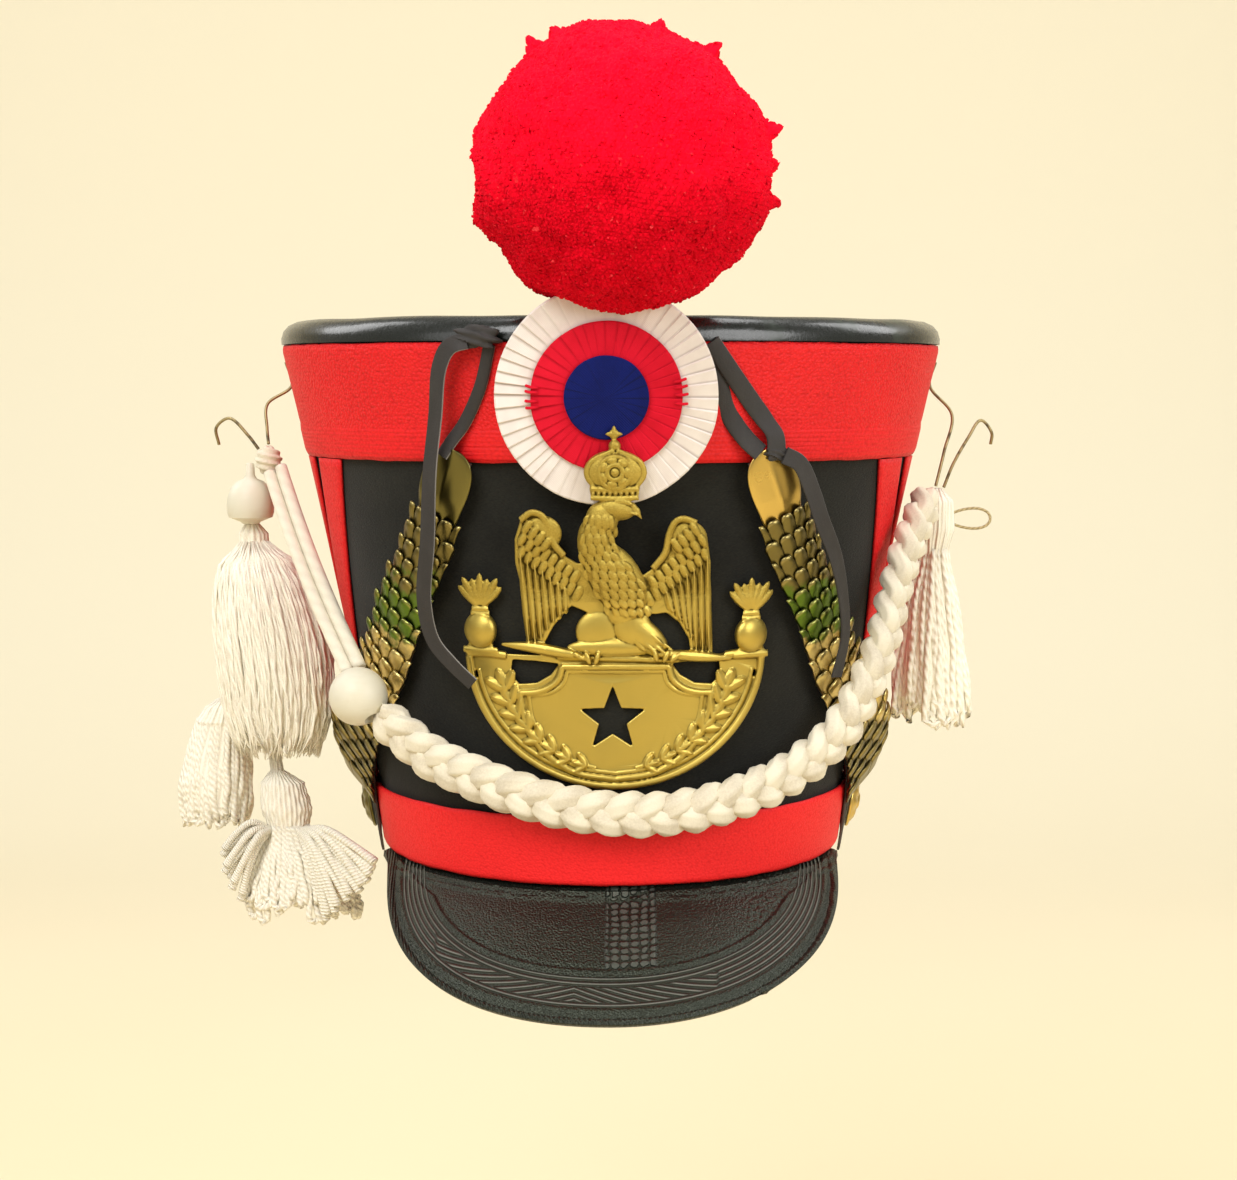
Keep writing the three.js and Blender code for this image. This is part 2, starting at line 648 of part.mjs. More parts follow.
function addPompom() {
  const tufts = spreadOnBall(POMPOM.tufts).filter((d) => d.z > POMPOM.lowestTuft).map(tuft);
  const ball = fuse([new THREE.IcosahedronGeometry(POMPOM.core, 2), ...tufts]);
  ball.translate(POMPOM.x, POMPOM.y, POMPOM.z);
  addPart('pompom', cutAway(ball, [cockadeRoom(), stemBox(GAP)]), FINISHES.wool);
  addPart('pompom_stem', stemBox(0), FINISHES.wire);
}

// Front plate, modelled flat and then bent round the crown

function outline(points) {
  return new THREE.Shape(points.map(([x, y]) => new THREE.Vector2(x, y)));
}

function slab(shape, depth, curveSegments = 12) {
  return new THREE.ExtrudeGeometry(shape, { depth, bevelEnabled: false, curveSegments });
}

function starPoints(row, tips) {
  return Array.from({ length: tips * 2 }, (_, i) => {
    const radius = i % 2 === 0 ? row.outer : row.inner;
    const turn = Math.PI / 2 + (i * Math.PI) / tips;
    return [row.x + radius * Math.cos(turn), row.y + radius * Math.sin(turn)];
  });
}

function crescent(width, height) {
  const shape = new THREE.Shape();
  shape.moveTo(-width, SHIELD.top);
  shape.absellipse(0, SHIELD.top, width, height, -Math.PI, 0, false);
  return shape;
}

function shield() {
  const shape = crescent(SHIELD.halfWidth, SHIELD.top);
  const lunette = (sign) => LUNETTE.map(([x, y]) => [sign * x, y]);
  const gaps = [lunette(-1), lunette(1), starPoints(STAR, 5)];
  shape.holes = gaps.map(outline);
  return slab(shape, PLATE.sheet);
}

function shieldBorder() {
  const shape = crescent(SHIELD.halfWidth, SHIELD.top);
  const inner = SHIELD.halfWidth - SHIELD.border;
  shape.lineTo(inner, SHIELD.top);
  shape.absellipse(0, SHIELD.top, inner, SHIELD.top - SHIELD.border, 0, -Math.PI, true);
  return slab(shape, PLATE.sheet + SHIELD.rim);
}

function panelEdge(scale) {
  const at = (x, y) => [x * scale, PANEL.middle + (y - PANEL.middle) * scale];
  const [shoulderX, shoulderY] = PANEL_BOW.shoulder;
  const [sideX, sideY] = PANEL_BOW.side;
  const path = new THREE.Shape();
  path.moveTo(...at(PANEL.topHalf, PANEL.top));
  path.lineTo(...at(-PANEL.topHalf, PANEL.top));
  path.quadraticCurveTo(...at(-shoulderX, shoulderY), ...at(-PANEL.sideHalf, PANEL.sideTop));
  path.quadraticCurveTo(...at(-sideX, sideY), ...at(0, PANEL.foot));
  path.quadraticCurveTo(...at(sideX, sideY), ...at(PANEL.sideHalf, PANEL.sideTop));
  path.quadraticCurveTo(...at(shoulderX, shoulderY), ...at(PANEL.topHalf, PANEL.top));
  return path;
}

function panelFrame() {
  const shape = panelEdge(1);
  shape.holes = [panelEdge(PANEL_FRAME.inside)];
  return slab(shape, PLATE.sheet + PANEL_FRAME.proud, 4);
}

function leaning(row, half, sides, rings) {
  const ball = ellipsoid(new THREE.Vector3(), half, sides, rings);
  ball.rotateZ(degrees(row.lean));
  ball.translate(row.x, row.y, half.z * FIGURE_SINK);
  return ball;
}

function rod(from, to, radius, sides) {
  const [a, b] = [from, to].map(([x, y]) => new THREE.Vector3(x, y, radius));
  const bar = new THREE.CylinderGeometry(radius, radius, a.distanceTo(b), sides);
  const along = b.clone().sub(a).normalize();
  bar.applyQuaternion(new THREE.Quaternion().setFromUnitVectors(new THREE.Vector3(0, 1, 0), along));
  const middle = a.add(b).multiplyScalar(0.5);
  bar.translate(middle.x, middle.y, middle.z);
  return bar;
}

function quills(row) {
  const blend = (a, b, t) => [between(a[0], b[0], t), between(a[1], b[1], t)];
  return Array.from({ length: QUILLS }, (_, i) => {
    const t = i / (QUILLS - 1);
    const [top, foot] = [blend(row.topOuter, row.topInner, t), blend(row.footOuter, row.footInner, t)];
    const length = Math.hypot(top[0] - foot[0], top[1] - foot[1]);
    const lean = THREE.MathUtils.radToDeg(Math.atan2(foot[0] - top[0], top[1] - foot[1]));
    const middle = { x: (top[0] + foot[0]) / 2, y: (top[1] + foot[1]) / 2, lean };
    return leaning(middle, { x: 1.7, y: length / 2, z: WING_DEPTH }, 6, 3);
  });
}

function grenade(row) {
  const ball = ellipsoid(new THREE.Vector3(row.x, row.y, GRENADE_BALL.z), GRENADE_BALL.half, 8, 4);
  const foot = slab(outline(GRENADE_FOOT.outline), GRENADE_FOOT.depth);
  foot.translate(row.x, row.y, 0);
  const neckEnds = [-1, 1].map((sign) => [row.x + sign * GRENADE_NECK.half, row.neck]);
  const neck = rod(...neckEnds, GRENADE_NECK.radius, 6);
  const flame = slab(outline(FLAME), FLAME_DEPTH);
  flame.translate(row.x, row.neck, 0);
  return [ball, foot, neck, flame];
}

function plateStandoff(z) {
  const next = Math.max(1, PLATE_STANDOFF.findIndex((row) => row.z >= z));
  const [low, high] = [PLATE_STANDOFF[next - 1], PLATE_STANDOFF[next]];
  return between(low.out, high.out, (z - low.z) / (high.z - low.z));
}

function addFrontPlate() {
  const leaves = LEAVES.flatMap((row) => [1, -1].map((sign) => {
    return leaning({ x: sign * row.x, y: row.y, lean: -sign * row.lean }, LEAF_HALF, 6, 3);
  }));
  const flat = fuse([
    shield(),
    shieldBorder(),
    panelFrame(),
    ...leaves,
    slab(outline(WING_LEFT), WING_DEPTH),
    slab(outline(WING_RIGHT), WING_DEPTH),
    ...quills(QUILL_ROWS.left),
    ...quills(QUILL_ROWS.right),
    ...FIGURE.map((row) => leaning(row, row.half, 8, 4)),
    slab(outline(BEAK.outline), BEAK.depth),
    slab(outline(CROWN_BAND.outline), CROWN_BAND.depth),
    slab(outline(starPoints(TOP_CROSS, 4)), TOP_CROSS.depth),
    rod(PERCH.from, PERCH.to, PERCH.radius, 6),
    ...GRENADES.flatMap(grenade),
  ]);
  const trimmed = cutAway(flat, [behindPlate()]);
  const place = (p) => {
    const z = PLATE.foot + p.y;
    return behindFrontView(PLATE.x + p.x, z, plateStandoff(z) + p.z);
  };
  addPart('front_plate', bendPlate(trimmed, place, PLATE.bendStep), FINISHES.brass);
}

// The space behind the flat back of the plate, which the rounded figure must not enter.
function behindPlate() {
  const size = { x: 4 * SHIELD.halfWidth, y: 4 * SHIELD.halfWidth, z: SHIELD.halfWidth };
  const block = new THREE.BoxGeometry(size.x, size.y, size.z);
  block.translate(0, SHIELD.top, -size.z / 2);
  return block;
}

// Chin scales

const chinCurve = new THREE.CatmullRomCurve3(
  CHIN_ROUTE.map((row) => new THREE.Vector3(degrees(row.bearing) * CHIN_FLAT_RADIUS, row.z, 0)),
  false,
  'centripetal',
);
const chinLength = chinCurve.getLength();

function chinPoint(sign, along, across, out) {
  const t = THREE.MathUtils.clamp(along / chinLength, 0, 1);
  const at = chinCurve.getPointAt(t);
  const ahead = chinCurve.getTangentAt(t);
  const past = along - t * chinLength;
  const bearing = (at.x + ahead.x * past - ahead.y * across) / CHIN_FLAT_RADIUS;
  return onCrown(sign * bearing, at.y + ahead.y * past + ahead.x * across, out);
}

function chinStrap(sign) {
  const [from, to] = [CHIN_STRAP.from, chinLength - CHIN_STRAP.short];
  return strip(16, 2, (u, v, w) => {
    const width = between(CHIN_STRAP.footWidth, CHIN_STRAP.headWidth, u);
    const out = between(CHIN_STRAP.inner, CHIN_STRAP.outer, w);
    return chinPoint(sign, between(from, to, u), (v - 0.5) * width, out);
  });
}

function chinScale(sign, index) {
  const start = SCALES.start + index * SCALES.pitch;
  const width = between(SCALE_WIDTH.foot, SCALE_WIDTH.head, index / (SCALES.count - 1));
  return strip(1, SCALE_LOBES.count * 2, (u, v, w) => {
    const lobe = Math.abs(Math.sin(SCALE_LOBES.count * Math.PI * v));
    const along = u * (SCALES.pitch + SCALES.overlap - SCALE_LOBES.notch * (1 - lobe));
    const across = (v - 0.5) * width * between(SCALE_WIDTH.taper, 1, u);
    const camber = SCALE_LIE.camber * (1 - (2 * v - 1) ** 2);
    const out = SCALE_LIE.out + SCALE_LIE.rise * along + camber + SCALES.thick * w;
    return chinPoint(sign, start + along, across, out);
  });
}

function chinTongue(sign) {
  const start = SCALES.start + SCALES.count * SCALES.pitch;
  return strip(6, 2, (u, v, w) => {
    const belly = between(TONGUE_FORM.neck, 1, Math.sin(Math.PI * TONGUE_FORM.fullest * u));
    const tip = Math.sqrt(1 - TONGUE_FORM.blunt * u ** TONGUE_FORM.bluntPower);
    const across = (v - 0.5) * TONGUE.width * belly * tip;
    const crease = TONGUE.crease * (1 - Math.abs(2 * v - 1));
    return chinPoint(sign, start + u * TONGUE.length, across, SCALE_LIE.out + crease + TONGUE.thick * w);
  });
}

function chinBoss(sign) {
  const profile = BOSS_PROFILE.map((row) => new THREE.Vector2(row.r, row.h));
  const boss = new THREE.LatheGeometry(profile, BOSS.sides);
  const seat = chinPoint(sign, BOSS.at, 0, SCALE_LIE.out);
  const along = chinPoint(sign, BOSS.at + 1, 0, SCALE_LIE.out).sub(seat);
  const aside = chinPoint(sign, BOSS.at, 1, SCALE_LIE.out).sub(seat);
  const outward = along.cross(aside).multiplyScalar(sign).normalize();
  boss.applyQuaternion(new THREE.Quaternion().setFromUnitVectors(new THREE.Vector3(0, 1, 0), outward));
  boss.translate(seat.x, seat.y, seat.z);
  return weld(boss);
}

function addChinScales(side, sign) {
  addPart(`chin_strap_${side}`, chinStrap(sign), FINISHES.strapLeather);
  addPart(`chin_boss_${side}`, chinBoss(sign), FINISHES.brass);
  for (let i = 0; i < SCALES.count; i += 1) {
    addPart(`chin_scale_${side}_${i + 1}`, chinScale(sign, i), FINISHES.brass);
  }
  addPart(`chin_tongue_${side}`, chinTongue(sign), FINISHES.brass);
}

// Leather ties

function ribbon(rows, steps) {
  const path = new THREE.CatmullRomCurve3(rows.map(rowPoint), false, 'centripetal');
  return strip(steps, 1, (u, v, w) => {
    const at = path.getPointAt(u);
    const ahead = path.getTangentAt(u);
    const bearing = Math.atan2(at.x, -at.y);
    const across = new THREE.Vector3(Math.cos(bearing), Math.sin(bearing), 0);
    across.addScaledVector(ahead, -across.dot(ahead)).normalize();
    const face = ahead.clone().cross(across);
    at.addScaledVector(across, (v - 0.5) * TIE.width);
    return at.addScaledVector(face, (w - 0.5) * TIE.thick);
  });
}

function tieKnot(row) {
  const knot = ellipsoid(new THREE.Vector3(), row.half, 9, 5);
  knot.rotateZ(degrees(row.bearing));
  const at = rowPoint(row);
  knot.translate(at.x, at.y, at.z);
  return knot;
}

function addTies(side) {
  const stay = ribbon(TIE_STAYS[side], TIE.staySteps);
  addPart(`tie_${side}`, fuse([stay, tieKnot(TIE_KNOTS[side])]), FINISHES.tieLeather);
  addPart(`tie_tail_${side}`, ribbon(TIE_TAILS[side], TIE.tailSteps), FINISHES.tieLeather);
}

// White cord, beads and tassels

function braid() {
  const points = BRAID_ROUTE.map(rowPoint);
  points[0] = meet(rowPoint(SLIDE_BEAD), SLIDE_BEAD.radius, points[1]);
  const path = new THREE.CatmullRomCurve3(points, false, 'centripetal');
  const length = path.getLength();
  const steps = Math.round((length / BRAID.lobePitch) * BRAID.stepsPerLobe);
  const column = new THREE.CylinderGeometry(1, 1, 1, BRAID.sides, steps);
  return reshape(column, (p) => {
    const u = p.y + 0.5;
    const at = path.getPointAt(u);
    const ahead = path.getTangentAt(u);
    const face = new THREE.Vector3(at.x, at.y, 0).normalize();
    face.addScaledVector(ahead, -face.dot(ahead)).normalize();
    const across = ahead.clone().cross(face);
    const phase = (u * length * Math.PI * 2) / BRAID.lobePitch;
    const lobe = 1 + BRAID.lobe * Math.sin(phase) * p.x;
    at.addScaledVector(across, (p.x * BRAID.width * lobe) / 2);
    return at.addScaledVector(face, (p.z * BRAID.thick * lobe) / 2);
  });
}

// The place just outside a round piece where a cord coming from another place ends.
function meet(middle, radius, from) {
  const towards = from.clone().sub(middle).normalize();
  return middle.clone().addScaledVector(towards, radius + GAP);
}

// The route of the plain cords, cut short where it meets the bead and the knot.
function plainCordPath() {
  const points = PLAIN_CORD_ROUTE.map(rowPoint);
  points[0] = meet(rowPoint(SLIDE_BEAD), SLIDE_BEAD.radius, points[1]);
  points[points.length - 1] = meet(knotMiddle(), CORD_KNOT.half.z, points.at(-2));
  return points;
}

function knotMiddle() {
  return new THREE.Vector3(CORD_KNOT.x, CORD_KNOT.y, CORD_KNOT.z);
}

function plainCord(shift) {
  const points = plainCordPath();
  const ahead = points.at(-1).clone().sub(points[0]).normalize();
  const face = new THREE.Vector3(points[2].x, points[2].y, 0).normalize();
  const aside = ahead.cross(face).normalize();
  const moved = points.map((p) => p.clone().addScaledVector(aside, shift));
  return tube(moved, PLAIN_CORD.diameter / 2, PLAIN_CORD.sides, PLAIN_CORD.steps);
}

function tassel(row) {
  const profile = row.rows.map((at, i) => new THREE.Vector2(at.r, i));
  const last = row.rows.length - 1;
  const closed = [new THREE.Vector2(0, 0), ...profile, new THREE.Vector2(0, last + 1)];
  const segments = row.locks * 2;
  const round = new THREE.LatheGeometry(closed, segments);
  return reshape(round, (p) => {
    const level = Math.min(Math.round(p.y), last);
    const at = row.rows[level];
    const isInner = p.y > last + 0.5;
    const turn = Math.atan2(p.x, p.z);
    const ridge = Math.abs(Math.round((turn / (Math.PI * 2)) * segments)) % 2 === 0 ? 1 : -1;
    const swell = 1 + row.flute * ridge * (level / last);
    const drop = level === last && !isInner ? row.ragged * ridge * Math.sin(turn * 3 + 1) : 0;
    const lift = isInner ? row.hollow : 0;
    return new THREE.Vector3(at.x + p.x * swell, row.y - p.z * swell * row.flat, at.z - drop + lift);
  });
}

function threadLoop() {
  const points = Array.from({ length: THREAD.steps }, (_, i) => {
    const turn = (i / THREAD.steps) * Math.PI * 2;
    const x = THREAD_LOOP.x + THREAD_LOOP.half.x * Math.cos(turn);
    return new THREE.Vector3(x, THREAD_LOOP.y, THREAD_LOOP.z + THREAD_LOOP.half.z * Math.sin(turn));
  });
  const path = new THREE.CatmullRomCurve3(points, true, 'centripetal');
  return new THREE.TubeGeometry(path, THREAD.steps, THREAD.radius, THREAD.sides, true);
}

function addWires(side, sign) {
  const bearing = sign * degrees(90);
  const held = [HANGER_TOP.high, HANGER_TOP.low].map((z) => onCrown(bearing, z, HANGER_TOP.out));
  const hanging = HANGERS[side].map((p) => new THREE.Vector3(...p));
  const hanger = tube([...held, ...hanging], WIRE.radius, WIRE.sides, WIRE.steps);
  addPart(`hanger_${side}`, weld(hanger), FINISHES.wire);
  const crook = HOOKS[side].map((p) => new THREE.Vector3(...p));
  addPart(`hook_${side}`, weld(tube(crook, WIRE.radius, WIRE.sides, WIRE.steps)), FINISHES.wire);
}

function addWhiteCord() {
  addPart('braid_front', braid(), FINISHES.cotton);
  const radius = SLIDE_BEAD.radius;
  const bead = ellipsoid(rowPoint(SLIDE_BEAD), { x: radius, y: radius, z: radius }, 12, 8);
  addPart('slide_bead', weld(bead), FINISHES.bead);
  addPart('cord_left_front', weld(plainCord(PLAIN_CORD.apart / 2)), FINISHES.cotton);
  addPart('cord_left_rear', weld(plainCord(-PLAIN_CORD.apart / 2)), FINISHES.cotton);
  addPart('cord_knot_left', weld(ellipsoid(knotMiddle(), CORD_KNOT.half, 10, 7)), FINISHES.cotton);
  const profile = BELL_BEAD.rows.map((row) => new THREE.Vector2(row.r, row.z));
  const bell = new THREE.LatheGeometry(profile, BELL_BEAD.sides);
  const place = (p) => new THREE.Vector3(BELL_BEAD.x + p.x, BELL_BEAD.y - p.z, p.y);
  addPart('bell_bead', reshape(bell, place), FINISHES.bead);
  for (const row of TASSELS) {
    addPart(row.node, tassel(row), FINISHES.cotton);
  }
  addPart('thread_loop_right', weld(threadLoop()), FINISHES.cotton);
}

addCrown();
addLeatherTop();
addPeak();
addCockade();
addPompom();
addFrontPlate();
for (const [side, sign] of [['left', -1], ['right', 1]]) {
  addChevrons(side, sign);
  addChinScales(side, sign);
  addTies(side);
  addWires(side, sign);
}
addWhiteCord();

export default part;
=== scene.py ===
"""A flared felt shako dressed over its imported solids: leather, brass, wool and white cotton cord.

Sizes are in millimetres while a piece is shaped and in metres once it is in the scene. The origin is
the centre of the rim, +Z is up and the front faces -Y. A bearing is an angle round the crown, 0 at
the front and positive towards +X.
"""

import logging
import random
from abc import ABC, abstractmethod
from dataclasses import dataclass, field
from enum import Enum
from math import asin, atan, atan2, copysign, cos, degrees, exp, hypot, pi, radians, sin, sqrt, tau
from typing import Any, Callable, Iterable, Sequence

import bmesh
import bpy
from mathutils import Matrix, Vector, noise


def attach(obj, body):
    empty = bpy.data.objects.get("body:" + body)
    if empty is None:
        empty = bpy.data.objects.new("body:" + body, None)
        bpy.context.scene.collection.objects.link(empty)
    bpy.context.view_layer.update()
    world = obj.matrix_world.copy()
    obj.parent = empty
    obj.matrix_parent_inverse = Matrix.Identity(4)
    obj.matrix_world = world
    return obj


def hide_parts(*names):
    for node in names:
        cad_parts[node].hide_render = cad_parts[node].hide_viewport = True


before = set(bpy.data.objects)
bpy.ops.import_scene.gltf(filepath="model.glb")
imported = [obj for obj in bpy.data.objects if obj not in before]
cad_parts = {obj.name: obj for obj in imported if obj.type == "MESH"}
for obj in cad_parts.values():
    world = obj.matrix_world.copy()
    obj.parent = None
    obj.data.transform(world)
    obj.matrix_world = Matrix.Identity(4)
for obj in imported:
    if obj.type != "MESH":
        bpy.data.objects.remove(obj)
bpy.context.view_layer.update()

LOG = logging.getLogger("shako")
MM = 0.001
BODY = "root"
WELD = 1e-4
GOLDEN_TURN = pi * (3 - sqrt(5))
Colour = tuple[float, float, float]
Pair = tuple[float, float]
Row = tuple[float, ...]
Rows = tuple[Row, ...]
Place = Callable[[float, float], Vector]
Material = bpy.types.Material
Socket = bpy.types.NodeSocket
Object = bpy.types.Object
PALE: tuple[Colour, Colour] = ((0.93, 0.89, 0.76), (0.70, 0.63, 0.50))
# Brighter copies of the pale yarn colours, for the right tassel in the braid's shadow: painted light.
PAINTED_LIGHT: tuple[Colour, Colour] = ((0.97, 0.93, 0.79), (0.84, 0.77, 0.61))


class Side(Enum):
    """The two sides of the hat, seen from the front."""

    LEFT = -1
    RIGHT = 1

    @property
    def word(self) -> str:
        """The side's name as the pieces carry it."""
        return self.name.lower()


def blend(low: float, high: float, share: float) -> float:
    """The number that lies a share of the way from low to high."""
    return low + (high - low) * share


def ease(low: float, high: float, at: float) -> float:
    """A smooth step from 0 at low to 1 at high."""
    t = min(1.0, max(0.0, (at - low) / (high - low)))
    return t * t * (3 - 2 * t)


def bell(at: float, middle: float, width: float) -> float:
    """A smooth hump of height 1 round a middle."""
    return exp(-(((at - middle) / width) ** 2))


def humps(rows: Sequence[Row], at: float) -> float:
    """The sum of smooth humps from rows of middle, width and height."""
    return sum(height * bell(at, middle, width) for middle, width, height in rows)


def table(rows: Sequence[Row], at: float) -> float:
    """Read a two-column table at a place between its rows.

    Args:
        rows: Pairs of place and value, in rising order of place.
        at: The place to read.

    Returns:
        The value there, held at the table's ends.
    """
    if at <= rows[0][0]:
        return rows[0][1]
    for low, high in zip(rows, rows[1:]):
        if at <= high[0]:
            return blend(low[1], high[1], (at - low[0]) / (high[0] - low[0]))
    return rows[-1][1]


def rough(point: Vector, size: float, seed: float = 0.0) -> float:
    """Smooth noise from -1 to 1 whose lumps are about size across."""
    return noise.noise(point / size + Vector((seed, 3.1 * seed, 7.7 * seed)))


def link(made: Object) -> None:
    """Put an object in the scene."""
    bpy.context.scene.collection.objects.link(made)


# Shaders


class Value:
    """A number that varies over a surface, so that shader maths reads as plain expressions."""

    def __init__(self, shader: "Shader", socket: Socket) -> None:
        """Keep the socket that carries the number."""
        self.shader = shader
        self.socket = socket

    def _math(self, operation: str, first: Any, second: Any = 0.0) -> "Value":
        """Add one Math node and return its result."""
        made = self.shader.node("ShaderNodeMath", {"operation": operation}, {0: first, 1: second})
        return Value(self.shader, made.outputs[0])

    def __add__(self, other: Any) -> "Value":
        """Sum."""
        return self._math("ADD", self, other)

    __radd__ = __add__

    def __sub__(self, other: Any) -> "Value":
        """Difference."""
        return self._math("SUBTRACT", self, other)

    def __rsub__(self, other: Any) -> "Value":
        """Difference from a plain number."""
        return self._math("SUBTRACT", other, self)

    def __mul__(self, other: Any) -> "Value":
        """Product."""
        return self._math("MULTIPLY", self, other)

    __rmul__ = __mul__

    def sine(self) -> "Value":
        """Sine, in radians."""
        return self._math("SINE", self)

    def size(self) -> "Value":
        """The number without its sign."""
        return self._math("ABSOLUTE", self)

    def step(self, low: float, high: float) -> "Value":
        """A smooth step from 0 at low to 1 at high.

        Args:
            low: Where the step starts.
            high: Where it ends.

        Returns:
            The stepped number.
        """
        made = self.shader.node(
            "ShaderNodeMapRange",
            {"interpolation_type": "SMOOTHSTEP"},
            {"Value": self, "From Min": low, "From Max": high},
        )
        return Value(self.shader, made.outputs[0])


class Shader:
    """The node tree of one material, with a single principled surface."""

    def __init__(self, name: str) -> None:
        """Start an empty material with its surface and output.

        Args:
            name: The material's name.
        """
        self.material = bpy.data.materials.new(name)
        self.material.use_nodes = True
        self.tree = self.material.node_tree
        self.tree.nodes.clear()
        self.surface = self.node("ShaderNodeBsdfPrincipled")
        self.node("ShaderNodeOutputMaterial", sockets={"Surface": self.surface.outputs[0]})

    def node(self, kind: str, settings: dict | None = None, sockets: dict | None = None) -> bpy.types.Node:
        """Add one node.

        Args:
            kind: The node's type.
            settings: Its settings, set first.
            sockets: Values or links for its inputs, by name or number.

        Returns:
            The new node.
        """
        made = self.tree.nodes.new(kind)
        for name, value in (settings or {}).items():
            setattr(made, name, value)
        for key, value in (sockets or {}).items():
            self._feed(made.inputs[key], value)
        return made

    def _feed(self, target: Socket, value: Any) -> None:
        """Link a value to a socket, or set it there where it is a plain number or colour.

        Args:
            target: The socket.
            value: A number, colour, vector, socket or Value.
        """
        source = value.socket if isinstance(value, Value) else value
        if isinstance(source, Socket):
            self.tree.links.new(source, target)
        else:
            target.default_value = (*source, 1.0) if target.type == "RGBA" else source

    def surface_set(self, **sockets: Any) -> None:
        """Set or link the surface's sockets, named with low lines for spaces."""
        for name, value in sockets.items():
            self._feed(self.surface.inputs[name.replace("_", " ").title().replace("Ior", "IOR")], value)

    def coords(self, kind: str = "Object") -> Socket:
        """Object or UV coordinates."""
        return self.node("ShaderNodeTexCoord").outputs[kind]

    def stretched(self, coords: Socket, scale: Row, turn: Row = (0, 0, 0)) -> Socket:
        """Coordinates scaled by an amount for each axis, and turned.

        Args:
            coords: The coordinates.
            scale: The amount for each axis.
            turn: Angles in radians.

        Returns:
            The new coordinates.
        """
        made = self.node(
            "ShaderNodeMapping", None, {"Vector": coords, "Scale": Vector(scale), "Rotation": Vector(turn)}
        )
        return made.outputs[0]

    def split(self, coords: Socket) -> tuple[Value, Value, Value]:
        """The three numbers of a vector."""
        made = self.node("ShaderNodeSeparateXYZ", None, {0: coords})
        return tuple(Value(self, socket) for socket in made.outputs[:3])

    def cloud(self, coords: Socket, size: float, detail: float = 2.0) -> Value:
        """Noise from 0 to 1 with lumps of a size in metres."""
        made = self.node("ShaderNodeTexNoise", None, {"Vector": coords, "Scale": 1 / size, "Detail": detail})
        return Value(self, made.outputs[0])

    def pebbles(self, coords: Socket, size: float, smooth: float = 0.35) -> Value:
        """Rounded cells of a size in metres, 0 in the middle of each.

        Args:
            coords: The coordinates.
            size: The size of a cell.
            smooth: How far the cells melt together.

        Returns:
            The distance from each cell's middle.
        """
        made = self.node(
            "ShaderNodeTexVoronoi",
            {"feature": "SMOOTH_F1"},
            {"Vector": coords, "Scale": 1 / size, "Smoothness": smooth},
        )
        return Value(self, made.outputs[0])

    def attribute(self, name: str) -> Value:
        """A number that the piece's own mesh carries."""
        return Value(self, self.node("ShaderNodeAttribute", {"attribute_name": name}).outputs["Fac"])

    def mix(self, share: Any, first: Any, second: Any) -> Socket:
        """A colour between two others."""
        made = self.node("ShaderNodeMix", {"data_type": "RGBA"}, {0: share, 6: first, 7: second})
        return made.outputs[2]

    def bump(self, height: Value, depth: float, strength: float = 1.0) -> None:
        """Let a height in units of depth, in metres, tilt the surface."""
        made = self.node("ShaderNodeBump", None, {"Height": height, "Distance": depth, "Strength": strength})
        self.tree.links.new(made.outputs[0], self.surface.inputs["Normal"])


# Finishes


class Finish(ABC):
    """What a piece is made of: a name, and the colour, gloss and fine relief painted on it."""

    name: str

    @abstractmethod
    def paint(self, s: Shader, at: Socket) -> None:
        """Set the surface.

        Args:
            s: The material's shader.
            at: Places on the piece, in metres.
        """

    def material(self) -> Material:
        """Make the material.

        Returns:
            The material.
        """
        s = Shader(self.name)
        self.paint(s, s.coords())
        return s.material


@dataclass(frozen=True)
class Felt(Finish):
    """Pressed black felt with a faint lay of fibres."""

    name: str = "black_felt"
    dark: Colour = (0.005, 0.005, 0.004)
    light: Colour = (0.016, 0.016, 0.012)

    def paint(self, s: Shader, at: Socket) -> None:
        """Paint the felt.

        Args:
            s: The material's shader.
            at: Places on the piece, in metres.
        """
        fibre = s.cloud(s.stretched(at, (1, 1, 2.4)), 0.0011, 4)
        cloud = s.cloud(at, 0.03, 3)
        s.surface_set(
            base_color=s.mix((fibre * 0.6 + cloud * 0.5).step(0.3, 0.8), self.dark, self.light),
            roughness=0.93, sheen_weight=0.08, sheen_roughness=0.5, specular_ior_level=0.2,
        )
        s.bump(fibre, 0.0004, 0.6)


@dataclass(frozen=True)
class RedLeather(Finish):
    """Red leather: a coarse pebble, fine ruled lines, and a smoother hem below a height."""

    name: str
    colour: Colour = (0.74, 0.010, 0.012)
    deep: Colour = (0.40, 0.005, 0.007)
    pebble: float = 0.0012
    row: float = 0.0015
    pebble_depth: float = 0.00042
    hem: float = -1.0

    def paint(self, s: Shader, at: Socket) -> None:
        """Paint the leather.

        Args:
            s: The material's shader.
            at: Places on the piece, in metres.
        """
        height = s.split(at)[2]
        cells = s.pebbles(s.stretched(at, (1, 1, 1.2), (0, radians(20), 0)), self.pebble)
        lines = s.cloud(s.stretched(at, (1, 1, 14)), 0.0085, 2)
        fine = s.cloud(at, 0.0006, 3)
        cloud = s.cloud(at, 0.035, 3)
        coarse = height.step(self.hem - 0.002, self.hem + 0.002)
        s.surface_set(
            base_color=s.mix((cells * 0.55 + cloud * 0.35 - 0.2).step(0.0, 1.0), self.colour, self.deep),
            roughness=0.42 + 0.2 * cells + 0.1 * cloud, specular_ior_level=0.25,
        )
        rows = (height * (tau / self.row)).sine() * 0.5 + 0.5
        relief = (1 - cells) * (0.2 + 0.9 * coarse) + rows * (0.26 - 0.14 * coarse)
        s.bump(relief + lines * (0.5 - 0.3 * coarse) + fine * 0.18, self.pebble_depth)


